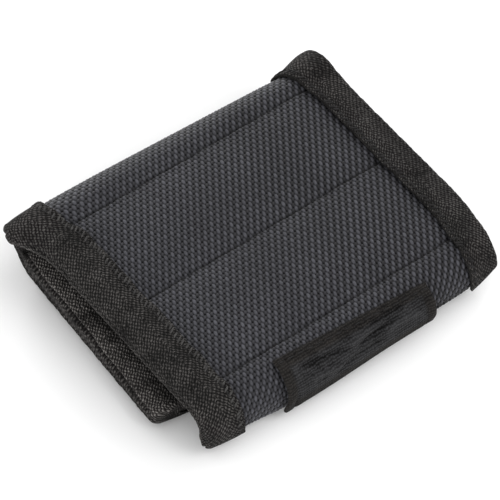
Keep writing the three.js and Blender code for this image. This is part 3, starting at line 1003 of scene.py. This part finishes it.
def tape_profile(top, bottom):
    """A tape folded over an edge: places from its inner border, heights, sides and the run over its cloth.

    top and bottom give the tape's outer faces by the place. side is 1 outside, -1 inside and 0 in the fold.
    """
    reach = TAPE_SHOWING - EDGE_ROUND
    flat = np.linspace(0, reach, int(reach / TOP_STEP) + 1)
    back = np.linspace(reach, 0, int(reach / UNDER_STEP) + 1)
    high = top(flat)
    low = bottom(flat)
    middle = (high[-1] + low[-1]) / 2
    swing = (high[-1] - low[-1]) / 2
    turn = np.linspace(math.pi / 2, -math.pi / 2, EDGE_POINTS)[1:-1]
    groove = EDGE_GROOVE * bell(np.sin(turn), EDGE_GROOVE_AT, EDGE_GROOVE_REACH)
    hidden = np.linspace(0, TAPE_SHOWING - TAPE_THICKNESS, HIDDEN_POINTS)
    around = reach + EDGE_ROUND * np.cos(turn) ** EDGE_BLUNT - groove
    place = np.concatenate([flat, around, back, hidden, hidden[::-1]])
    height = np.concatenate([high, middle + swing * np.sin(turn), bottom(back),
                             bottom(hidden) + TAPE_THICKNESS, top(hidden[::-1]) - TAPE_THICKNESS])
    side = np.concatenate([np.ones(len(flat)), np.sin(turn), -np.ones(len(back)),
                           np.zeros(2 * HIDDEN_POINTS)])
    run = np.concatenate([[0], np.cumsum(np.hypot(np.diff(place), np.diff(height)))])
    return place, height, side, run


def tape_top(place):
    return cover_height(TAPE_INNER + place) + SEWN_FIT + TAPE_THICKNESS


def tape_bottom(place):
    return lining_height(TAPE_INNER + place) - LINING_THICKNESS - SEWN_FIT - TAPE_THICKNESS


def tape_border(place, side):
    """The thick border of a tape, on both its faces."""
    return bell(place, BORDER_AT, BORDER_REACH) * np.abs(side)


def tape_inside(place, side):
    """The part of a tape that is seen on the inside of the band, which is painted lighter."""
    return ramp(side, 0, -1) * ramp(place, *INSIDE_FROM)


# Binding tape: how it lies along the band
TAIL_CORNER = 2.6
RIGHT_TAPE_OUT = 1.1
RIGHT_TAPE_NARROWER = 0.7
RIGHT_TAPE_WIDER = 2.6
RIGHT_TAPE_IN = 2.0
RIGHT_TAPE_IN_ALONG = (-48, -70)
RIGHT_TAPE_FADE = 4
TAPE_WANDER = 0.35
WANDER_WAVES = (9.0, 14.0, 23.0)
WANDER_FADE = 3
RIPPLE_WAVES = (5.3, 7.9, 11.7)
RIPPLE_FADE = 6
WANDER_SEED, RIPPLE_SEED, EDGE_SEED, CREASE_SEED = 7, 11, 17, 5
SELVEDGE_PITCH = 1.7
SELVEDGE_RISE = 0.12
LEFT_PUFF = 2.2
PUFF_STARTS = (0.55 * FOLD_LENGTH, 0.55 * FOLD_LENGTH + 14)
PUFF_ENDS = (TAIL_END - 4, TAIL_END - 44)
PUFF_ACROSS = (-3, 5)
PUFF_SIDE = (0.3, -0.2)
CREASE_AT = -0.62
CREASE_STARTS = (0.65 * FOLD_LENGTH, 0.65 * FOLD_LENGTH + 9)
CREASE_ENDS = (TAIL_END - 1, TAIL_END - 4)
CREASE_DEPTH = 1.6
CREASE_REACH = 0.15
CREASE_SHADE = 0.75
CREASE_SHADE_AT = 0.07
CREASE_SHADE_REACH = 0.13
CREASE_WANDER = 0.1
CREASE_WAVES = (13.0, 21.0, 34.0)
END_CLOSES = 0.9
END_THIN = 0.6
END_THIN_REACH = 1.3
END_SHUT = 0.96
END_SHUT_FROM = (2, 4)
END_SHORTER = 1.1
END_SHORTER_REACH = 1.5


def to_end(x, s):
    """Distance to the nearer end of the band."""
    return np.minimum(TAIL_END - s, s - front_end(x))


def tape_place(sign, place, s, sizes, shown=1.0):
    """Where a side tape's places lie across the band, its ripple, and how thick it is towards its ends."""
    cut = rounded_off(TAIL_CORNER - np.clip(TAIL_END - s, 0, TAIL_CORNER), TAIL_CORNER)
    wander = TAPE_WANDER * waves(s, WANDER_SEED + sign, WANDER_WAVES) * np.exp(-place / WANDER_FADE) * shown
    out = 1 - RIGHT_TAPE_IN * ramp(s, *RIGHT_TAPE_IN_ALONG)
    wider = RIGHT_TAPE_WIDER * bell(over_fold(0, s), FLARE_AT, FLARE_REACH)
    narrower = RIGHT_TAPE_NARROWER * (1 - wider)
    outwards = (RIGHT_TAPE_OUT * out + narrower * np.exp(-place / RIGHT_TAPE_FADE)) * (sign > 0)
    x = sign * (TAPE_INNER + place * (1 - cut / TAPE_SHOWING) + wander + outwards)
    ripple = waves(s, RIPPLE_SEED + sign, RIPPLE_WAVES) * np.exp(-place / RIPPLE_FADE) * shown
    ripple = sizes.tape_ripple / MM * ripple
    ends = np.sqrt(np.clip(to_end(x, s) / END_THIN_REACH, 0, 1))
    return x, ripple, END_THIN + (1 - END_THIN) * ends


def tape_end(x):
    """The front end of the side tapes, rounded at their inner border."""
    return front_end(x) + END_SHORTER * np.exp(-np.maximum(np.abs(x) - TAPE_INNER, 0) / END_SHORTER_REACH)


def edge_crease(sign, side, s):
    """How far the crease between the two halves of the lower leaf's left tape goes in, and how much shade is
    painted into it.
    """
    along = ramp(s, *CREASE_STARTS) * ramp(s, *CREASE_ENDS) * (sign < 0)
    off = side - CREASE_AT + CREASE_WANDER * waves(s, CREASE_SEED, CREASE_WAVES)
    # Painted shade inside the crease.
    dark = CREASE_SHADE * along * bell(off, CREASE_SHADE_AT, CREASE_SHADE_REACH)
    return CREASE_DEPTH * along * bell(off, 0, CREASE_REACH), dark


def puff(sign, place, s):
    """How far the lower leaf's left tape stands up on its inside, towards the fold."""
    along = ramp(s, *PUFF_STARTS) * ramp(s, *PUFF_ENDS)
    return LEFT_PUFF * along * ramp(place, *PUFF_ACROSS) * (sign < 0)


def squeezed(x, h, thick):
    """Heights drawn towards the middle of the tape."""
    middle = cover_height(x) - COVER_THICKNESS - SEWN_FIT / 2
    return middle + (h - middle) * thick


class WRISTBAND_OT_binding(bpy.types.Operator):
    """Folds twill tape over both long edges"""

    bl_idname = "wristband.binding"
    bl_label = "Binding"

    def execute(self, context):
        sizes = context.scene.wristband_sizes
        place, height, side, run = tape_profile(tape_top, tape_bottom)
        rim = np.exp((place - TAPE_SHOWING) / EDGE_FADE) * np.abs(side)
        for section in SECTIONS:
            for label, sign in SIDES:
                count = int(section_length(section) / TAPE_ROW) + 1
                if section.name == "curl":
                    section = section._replace(end=tape_end)
                s = rows_of(section, sign * (TAPE_INNER + place)[None, :], count)
                x, ripple, thick = tape_place(sign, place, s, sizes, np.abs(side))
                loops = np.abs(np.sin(np.pi * s / SELVEDGE_PITCH))
                bumps = SELVEDGE_RISE * tape_border(place, side) * loops
                edge = EDGE_RIPPLE * waves(s, EDGE_SEED + sign, EDGE_WAVES) * rim
                crease, dark = edge_crease(sign, side, s)
                x = x + sign * (edge - crease)
                h = channel_pull(x, s, height + 0 * s) + (ripple + bumps) * np.sign(side)
                closed = ramp(to_end(x, s), END_CLOSES, 0) * ramp(place, *END_SHUT_FROM) * (side == 0)
                h = squeezed(x, h, thick * (1 - END_SHUT * closed))
                h = h - puff(sign, place, s) * ramp(side, *PUFF_SIDE) * (side != 0)
                # The crease's painted shade goes to the tape's finish.
                piece = tube(f"binding_{label}_{section.name}", band(x, s, h), flat_map(run + 0 * s, s),
                             {"painted_shade": dark, "inside": tape_inside(place, side) + 0 * s})
                dress(piece, "tape", solids(section, f"binding_{label}"))
                bend(piece, section, "tape")
        return {"FINISHED"}


TAIL_RIPPLE = 0.2
TAIL_WAVES = (5.1, 8.3, 12.1)
TAIL_SEED = 3
TAIL_UNDER = 3.8
TAIL_THINNER = 0.5
TAIL_THINNER_ACROSS = (TAPE_INNER - 0.6, TAPE_INNER + 0.6)
TAIL_ROWS = 200


class WRISTBAND_OT_tail(bpy.types.Operator):
    """Folds twill tape over the tail of the lower leaf"""

    bl_idname = "wristband.tail"
    bl_label = "Tail binding"

    def execute(self, context):
        thickest = lining_height(0.0) - LINING_THICKNESS - SEWN_FIT - TAPE_THICKNESS
        place, height, side, run = tape_profile(level(SEWN_FIT + TAPE_THICKNESS), level(thickest))
        half = TAPE_INNER + TAIL_UNDER
        x = np.linspace(-half, half, TAIL_ROWS)[:, None]
        s = TAIL_END - TAPE_SHOWING + place[None, :] + 0 * x
        drawn = np.where(side >= 0, cover_height(x), lining_height(x) - lining_height(0.0))
        ripple = waves(x, TAIL_SEED, TAIL_WAVES) * np.exp(-place / RIPPLE_FADE) * np.abs(side)
        selvedge = tape_border(place, side) * np.abs(np.sin(np.pi * x / SELVEDGE_PITCH))
        h = height + drawn + TAIL_RIPPLE * (ripple + selvedge) * np.sign(side)
        h = squeezed(x, h, 1 - TAIL_THINNER * ramp(np.abs(x), *TAIL_THINNER_ACROSS))
        piece = tube("tail_tape", band(x, s, h), flat_map(run + 0 * x, x),
                     {"inside": tape_inside(place, side) + 0 * x})
        dress(piece, "tape", ["tail_binding"])
        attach(piece, "lower_leaf")
        return {"FINISHED"}


# The tab's deepest creases: where each begins and ends, by x and by its share of the tab's length, and
# its depth
CREASES = [
    ((-19.0, 0.30), (-2.0, 0.42), -1.3),
    ((-6.0, 0.40), (9.0, 0.30), 1.0),
    ((-3.0, 0.52), (13.0, 0.36), -1.2),
    ((2.0, 0.28), (17.0, 0.20), -0.9),
    ((6.0, 0.48), (20.0, 0.52), 0.8),
    ((-17.0, 0.55), (-4.0, 0.66), 0.9),
    ((-9.0, 0.70), (8.0, 0.62), -0.8),
]
CREASE_WIDTH = 0.65
CREASE_BOW = 0.5
CREASE_FADE = 4
FAINT_CREASES = 0.25
FAINT_DOWN = (2.3, 3.7, 5.9)
FAINT_ACROSS = (11.0, 17.0, 29.0)
FAINT_SEED = 21


def creases(x, t, depth):
    """Height of the tab's creases in millimetres: a few deep ones, and faint ones all over."""
    down = TAB_LENGTH * t
    total = FAINT_CREASES * waves(down + 0.15 * x, FAINT_SEED, FAINT_DOWN)
    total = total * waves(x + 0.3 * down, FAINT_SEED + 1, FAINT_ACROSS)
    for (x0, t0), (x1, t1), height in CREASES:
        run = np.array([x1 - x0, TAB_LENGTH * (t1 - t0)])
        reach = np.hypot(*run)
        run = run / reach
        along = (x - x0) * run[0] + (down - TAB_LENGTH * t0) * run[1]
        off = -(x - x0) * run[1] + (down - TAB_LENGTH * t0) * run[0]
        off = off + CREASE_BOW * np.sin(np.pi * along / reach)
        fade = ramp(along, 0, CREASE_FADE) * ramp(along, reach, reach - CREASE_FADE)
        total = total + height * fade * bell(off, 0, CREASE_WIDTH)
    return depth * total


# The tab's outline and hems
TAB_SKEW = 2.6 / (2 * TAB_HALF)
TAB_SAG = 1.1
TAB_SAG_ACROSS = (12, -14)
TAB_SPREAD = 0.8
TAB_FLARE = 1.3
TAB_FLARE_FROM = (0.7, 1.0)
TAB_RIGHT_OUT = 0.4
TAB_LEFT_ROUND = 0.6
TAB_CORNER = 2.0
TAB_HEM = 2.7
TAB_HEM_FADE = 0.6
TAB_EDGE = 0.5
TAB_EDGE_REACH = 0.8
TAB_LIFT = 0.45
TAB_LIFT_ACROSS = (3.5, 0)
TAB_LIFT_STARTS = (0.15, 0.55)
TAB_LIFT_ENDS = (1.0, 0.7)
TOP_GROOVE = 0.3
TOP_GROOVE_REACH = 0.5
SIDE_GROOVE = 0.25
SIDE_GROOVE_REACH = 0.45
CREASED_FROM = (0.5, 2.5)
SEWN_LOW = 0.35
SEWN_LOW_ENDS = (1.2, 2.8)
BEND_STARTS = 0.6
BEND_ENDS = 4.0
BEND_HEIGHT = 0.5
TAB_ROWS = 84
TAB_KEPT = 4
TAB_COLUMNS = 240


def tab_top(x):
    """The tab's sewn edge, which runs down a little to the right."""
    return TAB_START - TAB_SKEW * (x + TAB_HALF)


def tab_end(x):
    """The tab's free edge, which hangs lower to the left."""
    return TAB_END - TAB_SAG * ramp(x, *TAB_SAG_ACROSS)


def tab_sides(t):
    """The tab's left and right edges, from its sewn edge at 0 to its free edge at 1."""
    corner = rounded_off(np.maximum(TAB_LENGTH * (t - 1) + TAB_CORNER, 0), TAB_CORNER)
    flare = TAB_SPREAD * t + TAB_FLARE * ramp(t, *TAB_FLARE_FROM)
    return -TAB_HALF - flare + TAB_LEFT_ROUND * corner, TAB_HALF + TAB_RIGHT_OUT - corner


def tab_underside(x, s):
    """The tab lies on the cover at its sewn edge, and over its hook patch further down."""
    return SEWN_LOW + (TAB_BOTTOM - SEWN_LOW) * ramp(tab_top(x) - s, *SEWN_LOW_ENDS)


class WRISTBAND_OT_tab(bpy.types.Operator):
    """Makes the creased closing tab round the front curl"""

    bl_idname = "wristband.tab"
    bl_label = "Closing tab"

    def execute(self, context):
        t = np.linspace(0, 1, TAB_ROWS)[:, None]
        left, right = tab_sides(t)
        x = left + (right - left) * np.linspace(0, 1, TAB_COLUMNS)[None, :]
        s = tab_top(x) * (1 - t) + tab_end(x) * t
        edge = np.minimum(x - left, right - x)
        inset = np.minimum(edge, np.minimum(t, 1 - t) * TAB_LENGTH)
        lifted = TAB_LIFT * ramp(edge, *TAB_LIFT_ACROSS) * ramp(t, *TAB_LIFT_STARTS) * ramp(t, *TAB_LIFT_ENDS)
        low = tab_underside(x, s) + lifted
        rounded = TAB_EDGE * (1 - np.sqrt(np.clip(inset / TAB_EDGE_REACH, 0, 1)))
        groove = TOP_GROOVE * bell(tab_top(x) - s, TAB_HEM, TOP_GROOVE_REACH)
        for from_side in (right - x, x - left):
            groove = groove + SIDE_GROOVE * bell(from_side, TAB_HEM, SIDE_GROOVE_REACH)
        depth = context.scene.wristband_sizes.crease / MM
        creased = creases(x, t, depth) * ramp(inset, *CREASED_FROM)
        h = low + TAB_THICKNESS - rounded - groove + creased
        hem = ramp(inset, TAB_HEM + TAB_HEM_FADE, TAB_HEM - TAB_HEM_FADE)
        kept = kept_rows(TAB_ROWS, TAB_KEPT)
        # The crease height goes to the finish too, which paints shade and highlight by it.
        piece = cloth("tab", band(x, s, h), band(x[kept], s[kept], low[kept]), kept, flat_map(s, x),
                      {"hem": hem, "crease": 0.5 + 0.5 * creased})
        dress(piece, "tab", ["closing_tab"])
        at = band(0, tab_top(0.0) - BEND_STARTS, BEND_HEIGHT)
        to = band(-TAB_SKEW * (BEND_ENDS - BEND_STARTS), tab_top(0.0) - BEND_ENDS, BEND_HEIGHT)
        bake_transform(piece)
        return {"FINISHED"}


# Geometry Nodes trees
GEOMETRY = ("Geometry", "NodeSocketGeometry")
MATERIAL = ("Material", "NodeSocketMaterial")


def realized(tree, instances, material, result):
    """Ends a tree: real, smooth faces in the finish that is given."""
    real = add(tree, "GeometryNodeRealizeInstances", {0: instances}).outputs[0]
    soft = add(tree, "GeometryNodeSetShadeSmooth", {"Geometry": real}).outputs[0]
    finished = add(tree, "GeometryNodeSetMaterial", {"Geometry": soft, "Material": material}).outputs[0]
    tree.links.new(finished, result)


def stitch_tree():
    """Stitches of one length, lying end to end along lines."""
    inputs = [GEOMETRY, ("Pitch", FLOAT), ("Length", FLOAT), ("Thread", FLOAT), MATERIAL]
    tree, given, result = new_tree("Row of stitches", "GeometryNodeTree", inputs, GEOMETRY)
    curve = add(tree, "GeometryNodeMeshToCurve", {0: given["Geometry"]}).outputs[0]
    points = add(tree, "GeometryNodeCurveToPoints", {0: curve, "Length": given["Pitch"]},
                 mode="LENGTH").outputs
    bead = add(tree, "GeometryNodeMeshUVSphere", {"Segments": 8, "Rings": 6, "Radius": 0.5}).outputs["Mesh"]
    size = add(tree, "ShaderNodeCombineXYZ",
               {"X": given["Thread"], "Y": given["Thread"], "Z": given["Length"]}).outputs[0]
    inputs = {"Points": points["Points"], "Rotation": points["Rotation"], "Instance": bead, "Scale": size}
    stitches = add(tree, "GeometryNodeInstanceOnPoints", inputs).outputs[0]
    realized(tree, stitches, given["Material"], result)
    return tree


def hook_tree():
    """Small nylon hooks standing on a patch, with their bent heads all one way."""
    inputs = [GEOMETRY, ("Height", FLOAT), MATERIAL]
    tree, given, result = new_tree("Field of hooks", "GeometryNodeTree", inputs, GEOMETRY)
    stem = add(tree, "GeometryNodeMeshCone",
               {"Vertices": 6, "Radius Top": 0.16, "Radius Bottom": 0.24, "Depth": 1.0}).outputs["Mesh"]
    head = add(tree, "GeometryNodeMeshUVSphere", {"Segments": 6, "Rings": 4, "Radius": 0.3}).outputs["Mesh"]
    bent = add(tree, "GeometryNodeTransform",
               {"Geometry": head, "Translation": (0.14, 0.0, 1.0), "Scale": (1.5, 0.8, 0.6)}).outputs[0]
    joined = add(tree, "GeometryNodeJoinGeometry", {0: bent})
    tree.links.new(stem, joined.inputs[0])
    normal = add(tree, "GeometryNodeInputNormal", {}).outputs[0]
    upright = add(tree, "FunctionNodeAlignRotationToVector", {"Vector": normal}, axis="Z").outputs[0]
    inputs = {"Points": given["Geometry"], "Instance": joined.outputs[0], "Rotation": upright,
              "Scale": given["Height"]}
    hooks = add(tree, "GeometryNodeInstanceOnPoints", inputs).outputs[0]
    realized(tree, hooks, given["Material"], result)
    return tree


def grown(name, source, tree, values):
    """Runs a tree on a source mesh and keeps the result as a plain mesh."""
    guide = placed(f"{name}_guide", source)
    modifier = guide.modifiers.new("Rule", "NODES")
    modifier.node_group = tree
    for item in tree.interface.items_tree:
        if item.in_out == "INPUT" and item.name in values:
            modifier[item.identifier] = values[item.name]
    bpy.context.view_layer.update()
    made = guide.evaluated_get(bpy.context.evaluated_depsgraph_get())
    mesh = bpy.data.meshes.new_from_object(made)
    bpy.data.objects.remove(guide)
    mesh.name = name
    return placed(name, mesh)


def lines_mesh(name, lines):
    """Lines of points as a mesh of edges."""
    edges = []
    first = 0
    for line in lines:
        edges += [(first + i, first + i + 1) for i in range(len(line) - 1)]
        first += len(line)
    mesh = bpy.data.meshes.new(name)
    mesh.from_pydata(np.concatenate(lines).tolist(), edges, [])
    return mesh


# Sewing: the lines across the band, and how far threads stand out of the cloth or sink into it
CHANNELS = [
    ("rear", "top_leaf", REAR_CHANNEL),
    ("middle", "top_leaf", MIDDLE_CHANNEL),
    ("front", "top_leaf", FRONT_CHANNEL),
    ("lower", "lower_leaf", LOWER_CHANNEL),
]
LINE_POINTS = 240
LINE_STEP = 0.4
FEWEST_POINTS = 12
CHANNEL_SINK = 0.08
CHANNEL_UNDER = 0.12
TAPE_STITCH = 1.5
TAPE_PROUD = 0.03
TAB_STITCH = 1.3
TAB_LINE_HALF = TAB_HALF - 1.2
TAB_LINE_POINTS = 160
TAB_PROUD = 0.02
TAIL_PROUD = 0.05
FREE_END = 3.4
THREAD_CLEAR = 0.34
# Selvedge loops. Each lies on a line of its own, which is shorter than their pitch.
LOOP_PITCH = 20 * MM
LOOP_STEP = 1.35
LOOP_ACROSS = np.array([1.0, 0.2])
LOOP_LEAN = np.array([0.0, 0.45])
STRAY_ACROSS = 0.4
STRAY_ALONG = 0.45
STRAY_SEED = 31


def tape_line(sign, place, s, face, side, sizes):
    """Points on the outside or the inside of a side tape."""
    x, ripple, thick = tape_place(sign, place, s, sizes)
    h = channel_pull(x, s, face(place)) + (ripple + TAPE_PROUD) * side
    return band(x, s, squeezed(x, h, thick) - puff(sign, place, s) * (side < 0), THREAD_CLEAR)


class WRISTBAND_OT_stitches(bpy.types.Operator):
    """Sews the channels, the tape and the closing tab"""

    bl_idname = "wristband.stitches"
    bl_label = "Stitches"

    def execute(self, context):
        sizes = context.scene.wristband_sizes
        tree = stitch_tree()
        stitch = {"Pitch": sizes.stitch_pitch, "Length": sizes.stitch_length, "Thread": sizes.thread,
                  "Material": finish("thread")}
        loop = {"Pitch": LOOP_PITCH, "Length": sizes.loop_length, "Thread": sizes.loop_thread}
        # Painted light: the left loops get the paler selvedge colour where light falls on them, and the right
        # loops the dark thread colour as painted shade.
        loop_finish_painted_light = {"left": finish("selvedge"), "right": finish("thread")}
        source = np.random.default_rng(STRAY_SEED)

        def sewn(name, lines, values=stitch):
            piece = grown(name, lines_mesh(name, lines), tree, values)
            return piece

        x = np.linspace(-TAPE_INNER, TAPE_INNER, LINE_POINTS)
        for name, body, at in CHANNELS:
            s = at + 0 * x
            inside = channel_pull(x, s, lining_height(x) - LINING_THICKNESS) - CHANNEL_UNDER
            lines = [band(x, s, cover_rest(x, s, sizes) - CHANNEL_SINK), band(x, s, inside)]
            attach(sewn(f"stitches_{name}_channel", lines), body)
        for section in SECTIONS:
            lines = []
            for label, sign in SIDES:
                loops = []
                edge = sign * TAPE_INNER
                first = section.start(edge) - (FREE_END if section.name == "lower" else 0)
                last = section.end(edge) + (FREE_END if section.name == "curl" else 0)
                s = np.linspace(first, last, max(FEWEST_POINTS, int((first - last) / LINE_STEP)))
                steps = np.arange(math.ceil(last / LOOP_STEP), math.ceil(first / LOOP_STEP))
                for face, side in ((tape_top, 1), (tape_bottom, -1)):
                    lines.append(tape_line(sign, TAPE_STITCH + 0 * s, s, face, side, sizes))
                    for at in steps * LOOP_STEP:
                        near = LOOP_ACROSS + source.uniform(-STRAY_ACROSS, STRAY_ACROSS)
                        lean = at + source.uniform(-STRAY_ALONG, STRAY_ALONG) + LOOP_LEAN * side
                        loops.append(tape_line(sign, near, lean, face, side, sizes))
                values = {**loop, "Material": loop_finish_painted_light[label]}
                bend(sewn(f"selvedge_{label}_{section.name}", loops, values), section, "tape")
            bend(sewn(f"stitches_tape_{section.name}", lines), section, "tape")
        x = np.linspace(-TAB_LINE_HALF, TAB_LINE_HALF, TAB_LINE_POINTS)
        s = tab_top(x) - TAB_STITCH
        top = tab_underside(x, s) + TAB_THICKNESS + TAB_PROUD
        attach(sewn("stitches_tab", [band(x, s, top)]), "front_1")
        x = np.linspace(-TAPE_INNER + 1, TAPE_INNER - 1, LINE_POINTS)
        s = TAIL_END - TAPE_SHOWING + TAPE_STITCH + 0 * x
        top = SEWN_FIT + TAPE_THICKNESS + cover_height(x) + TAIL_PROUD
        low = lining_height(x) - LINING_THICKNESS - SEWN_FIT - TAPE_THICKNESS - TAIL_PROUD
        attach(sewn("stitches_tail", [band(x, s, top, THREAD_CLEAR), band(x, s, low)]), "lower_leaf")
        return {"FINISHED"}


# Hook and loop patches
HOOK_HALF = TAB_HALF - HOOK_MARGIN
HOOK_LOW = SEWN_FIT + 0.22
HOOK_SUNK = 0.02
HOOK_STANDS = 0.2
HOOK_SIDE = 0.8
HOOK_END = 0.6
LOOP_CORNER = 3.0
LOOP_ROWS = 110
LOOP_COLUMNS = 120
LOOP_KEPT = 3
PILE_ROUGH = 0.12
PILE_SEED = 9
PILE_ROUND = 0.5
PILE_ROUND_REACH = 0.9


def hook_grid(side, end, columns, rows):
    """x and s over the hook patch, less a margin at its sides and one at its ends."""
    x = np.linspace(-HOOK_HALF + side, HOOK_HALF - side, columns)[None, :]
    t = np.linspace(0, 1, rows)[:, None]
    return x, (tab_top(x) - HOOK_MARGIN - end) * (1 - t) + (TAB_END + HOOK_MARGIN + end) * t


class WRISTBAND_OT_fasteners(bpy.types.Operator):
    """Makes the hook patch under the tab and the loop patch under the lower leaf"""

    bl_idname = "wristband.fasteners"
    bl_label = "Hook and loop patches"

    def execute(self, context):
        x, s = hook_grid(0, 0, columns=34, rows=12)
        high = HOOK_LOW + HOOK_THICKNESS - HOOK_STANDS
        base = cloth("hook_base", band(x, s, HOOK_LOW), band(x, s, high), kept_rows(len(s), 1),
                     flat_map(x, s))
        dress(base, "hook", ["hook_patch"])
        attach(base, "tab")

        x, s = hook_grid(HOOK_SIDE, HOOK_END, columns=32, rows=9)
        points = band(x, s, HOOK_LOW + HOOK_SUNK)
        faces = grid_faces(np.arange(s.size).reshape(s.shape))
        if np.cross(points[0, 1] - points[0, 0], points[1, 0] - points[0, 0])[1] < 0:
            faces = faces[:, ::-1]
        field = bpy.data.meshes.new("hook_field")
        field.from_pydata(points.reshape(-1, 3).tolist(), [], faces.tolist())
        values = {"Height": context.scene.wristband_sizes.hook_height, "Material": finish("hook")}
        hooks = grown("hooks", field, hook_tree(), values)
        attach(hooks, "tab")

        half = LOOP_LENGTH / 2
        along = np.linspace(-half, half, LOOP_ROWS)[:, None]
        narrow = rounded_off(np.maximum(np.abs(along) - (half - LOOP_CORNER), 0), LOOP_CORNER)
        x = np.linspace(-LOOP_WIDTH / 2, LOOP_WIDTH / 2, LOOP_COLUMNS)[None, :]
        x = x * (1 - narrow / (LOOP_WIDTH / 2))
        s = FOLD_LENGTH + LOOP_TO_FOLD + half + along + 0 * x
        rim = np.minimum(LOOP_WIDTH / 2 - np.abs(x), half - np.abs(along))
        rough = PILE_ROUGH * np.random.default_rng(PILE_SEED).random(s.shape)
        pile = rough + PILE_ROUND * ramp(rim, PILE_ROUND_REACH, 0)
        kept = kept_rows(LOOP_ROWS, LOOP_KEPT)
        piece = cloth("loop_pile", band(x, s, SEWN_FIT + LOOP_THICKNESS - pile),
                      band(x[kept], s[kept], SEWN_FIT), kept, flat_map(x, s))
        dress(piece, "loop", ["loop_patch"])
        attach(piece, "lower_leaf")
        return {"FINISHED"}


class WRISTBAND_OT_inside(bpy.types.Operator):
    """Finishes the foam pads and the magnets inside the pockets"""

    bl_idname = "wristband.inside"
    bl_label = "Pads and magnets"

    def execute(self, context):
        for name, node in frame["nodes"].items():
            look = "nickel" if "_magnet_" in name else "foam" if "_pad" in name else None
            if look:
                node.data.materials.clear()
                node.data.materials.append(finish(look))
        return {"FINISHED"}


# The stage. Each lamp has its place, its size and its power.
FLOOR_REACH = 3.0
SKY = 0.86
LAMPS = [
    ("back_softbox", (0.3, 0.85, 0.22), 0.4, 4.0),
    ("right_fill", (0.8, 0.05, 0.45), 0.6, 2.2),
    ("front_fill", (0.4, -0.55, 0.6), 0.6, 3.0),
    ("low_fill", (-0.8, -0.3, 0.08), 0.4, 6.0),
]
LAMP_TARGET = (0, 0, 0.01)
CAMERA_TURN = math.radians(-38.1)
CAMERA_RISE = math.radians(49.07)
CAMERA_AWAY = 1.0
CAMERA_LENS = 298.9
CAMERA_SENSOR = 36.0
CAMERA_TARGET = (0.0, -0.0007, 0.01)


def looking(direction):
    """The rotation of a lamp or a camera that looks in a direction."""
    return direction.to_track_quat("-Z", "Y").to_euler()


class WRISTBAND_OT_stage(bpy.types.Operator):
    """Sets the floor, the lamps and the camera"""

    bl_idname = "wristband.stage"
    bl_label = "Stage"

    def execute(self, context):
        mesh = bpy.data.meshes.new("floor")
        corners = [(x * FLOOR_REACH, y * FLOOR_REACH, 0) for x, y in ((-1, -1), (1, -1), (1, 1), (-1, 1))]
        mesh.from_pydata(corners, [], [(0, 1, 2, 3)])
        mesh.materials.append(finish("floor"))
        placed("floor", mesh)
        world = bpy.data.worlds.new("Studio")
        context.scene.world = world
        world.use_nodes = True
        sky = world.node_tree.nodes["Background"].inputs
        sky["Color"].default_value = (1, 1, 1, 1)
        sky["Strength"].default_value = SKY
        for name, at, size, power in LAMPS:
            light = bpy.data.lights.new(name, "AREA")
            light.shape = "DISK"
            light.size = size
            light.energy = power
            lamp = placed(name, light)
            lamp.location = at
            lamp.rotation_euler = looking(Vector(LAMP_TARGET) - Vector(at))
        back = Vector((math.sin(CAMERA_TURN) * math.cos(CAMERA_RISE),
                       -math.cos(CAMERA_TURN) * math.cos(CAMERA_RISE), math.sin(CAMERA_RISE)))
        data = bpy.data.cameras.new("camera")
        data.lens = CAMERA_LENS
        data.sensor_width = CAMERA_SENSOR
        camera = placed("camera", data)
        camera.location = Vector(CAMERA_TARGET) + back * CAMERA_AWAY
        camera.rotation_euler = looking(-back)
        context.scene.camera = camera
        context.scene.view_settings.view_transform = "Standard"
        return {"FINISHED"}


MAKERS = (
    WRISTBAND_OT_cover,
    WRISTBAND_OT_lining,
    WRISTBAND_OT_binding,
    WRISTBAND_OT_tail,
    WRISTBAND_OT_tab,
    WRISTBAND_OT_stitches,
    WRISTBAND_OT_fasteners,
    WRISTBAND_OT_inside,
    WRISTBAND_OT_stage,
)


class WRISTBAND_PT_panel(bpy.types.Panel):
    """Lists what the wristband is dressed with"""

    bl_idname = "WRISTBAND_PT_panel"
    bl_label = "Wristband"
    bl_space_type = "VIEW_3D"
    bl_region_type = "UI"
    bl_category = "Wristband"

    def draw(self, context):
        for maker in MAKERS:
            self.layout.operator(maker.bl_idname)
        for group in (context.scene.wristband_sizes, context.scene.wristband_colours):
            for key in group.__annotations__:
                self.layout.prop(group, key)


CLASSES = (BandSizes, BandColours, *MAKERS, WRISTBAND_PT_panel)


def register():
    for item in CLASSES:
        bpy.utils.register_class(item)
    bpy.types.Scene.wristband_sizes = PointerProperty(type=BandSizes)
    bpy.types.Scene.wristband_colours = PointerProperty(type=BandColours)


def unregister():
    del bpy.types.Scene.wristband_colours
    del bpy.types.Scene.wristband_sizes
    for item in reversed(CLASSES):
        bpy.utils.unregister_class(item)


def main():
    register()
    bpy.ops.wristband.stage()
    bpy.ops.wristband.cover()
    bpy.ops.wristband.lining()
    bpy.ops.wristband.binding()
    bpy.ops.wristband.tail()
    bpy.ops.wristband.tab()
    bpy.ops.wristband.stitches()
    bpy.ops.wristband.fasteners()
    bpy.ops.wristband.inside()


if __name__ == "__main__":
    main()
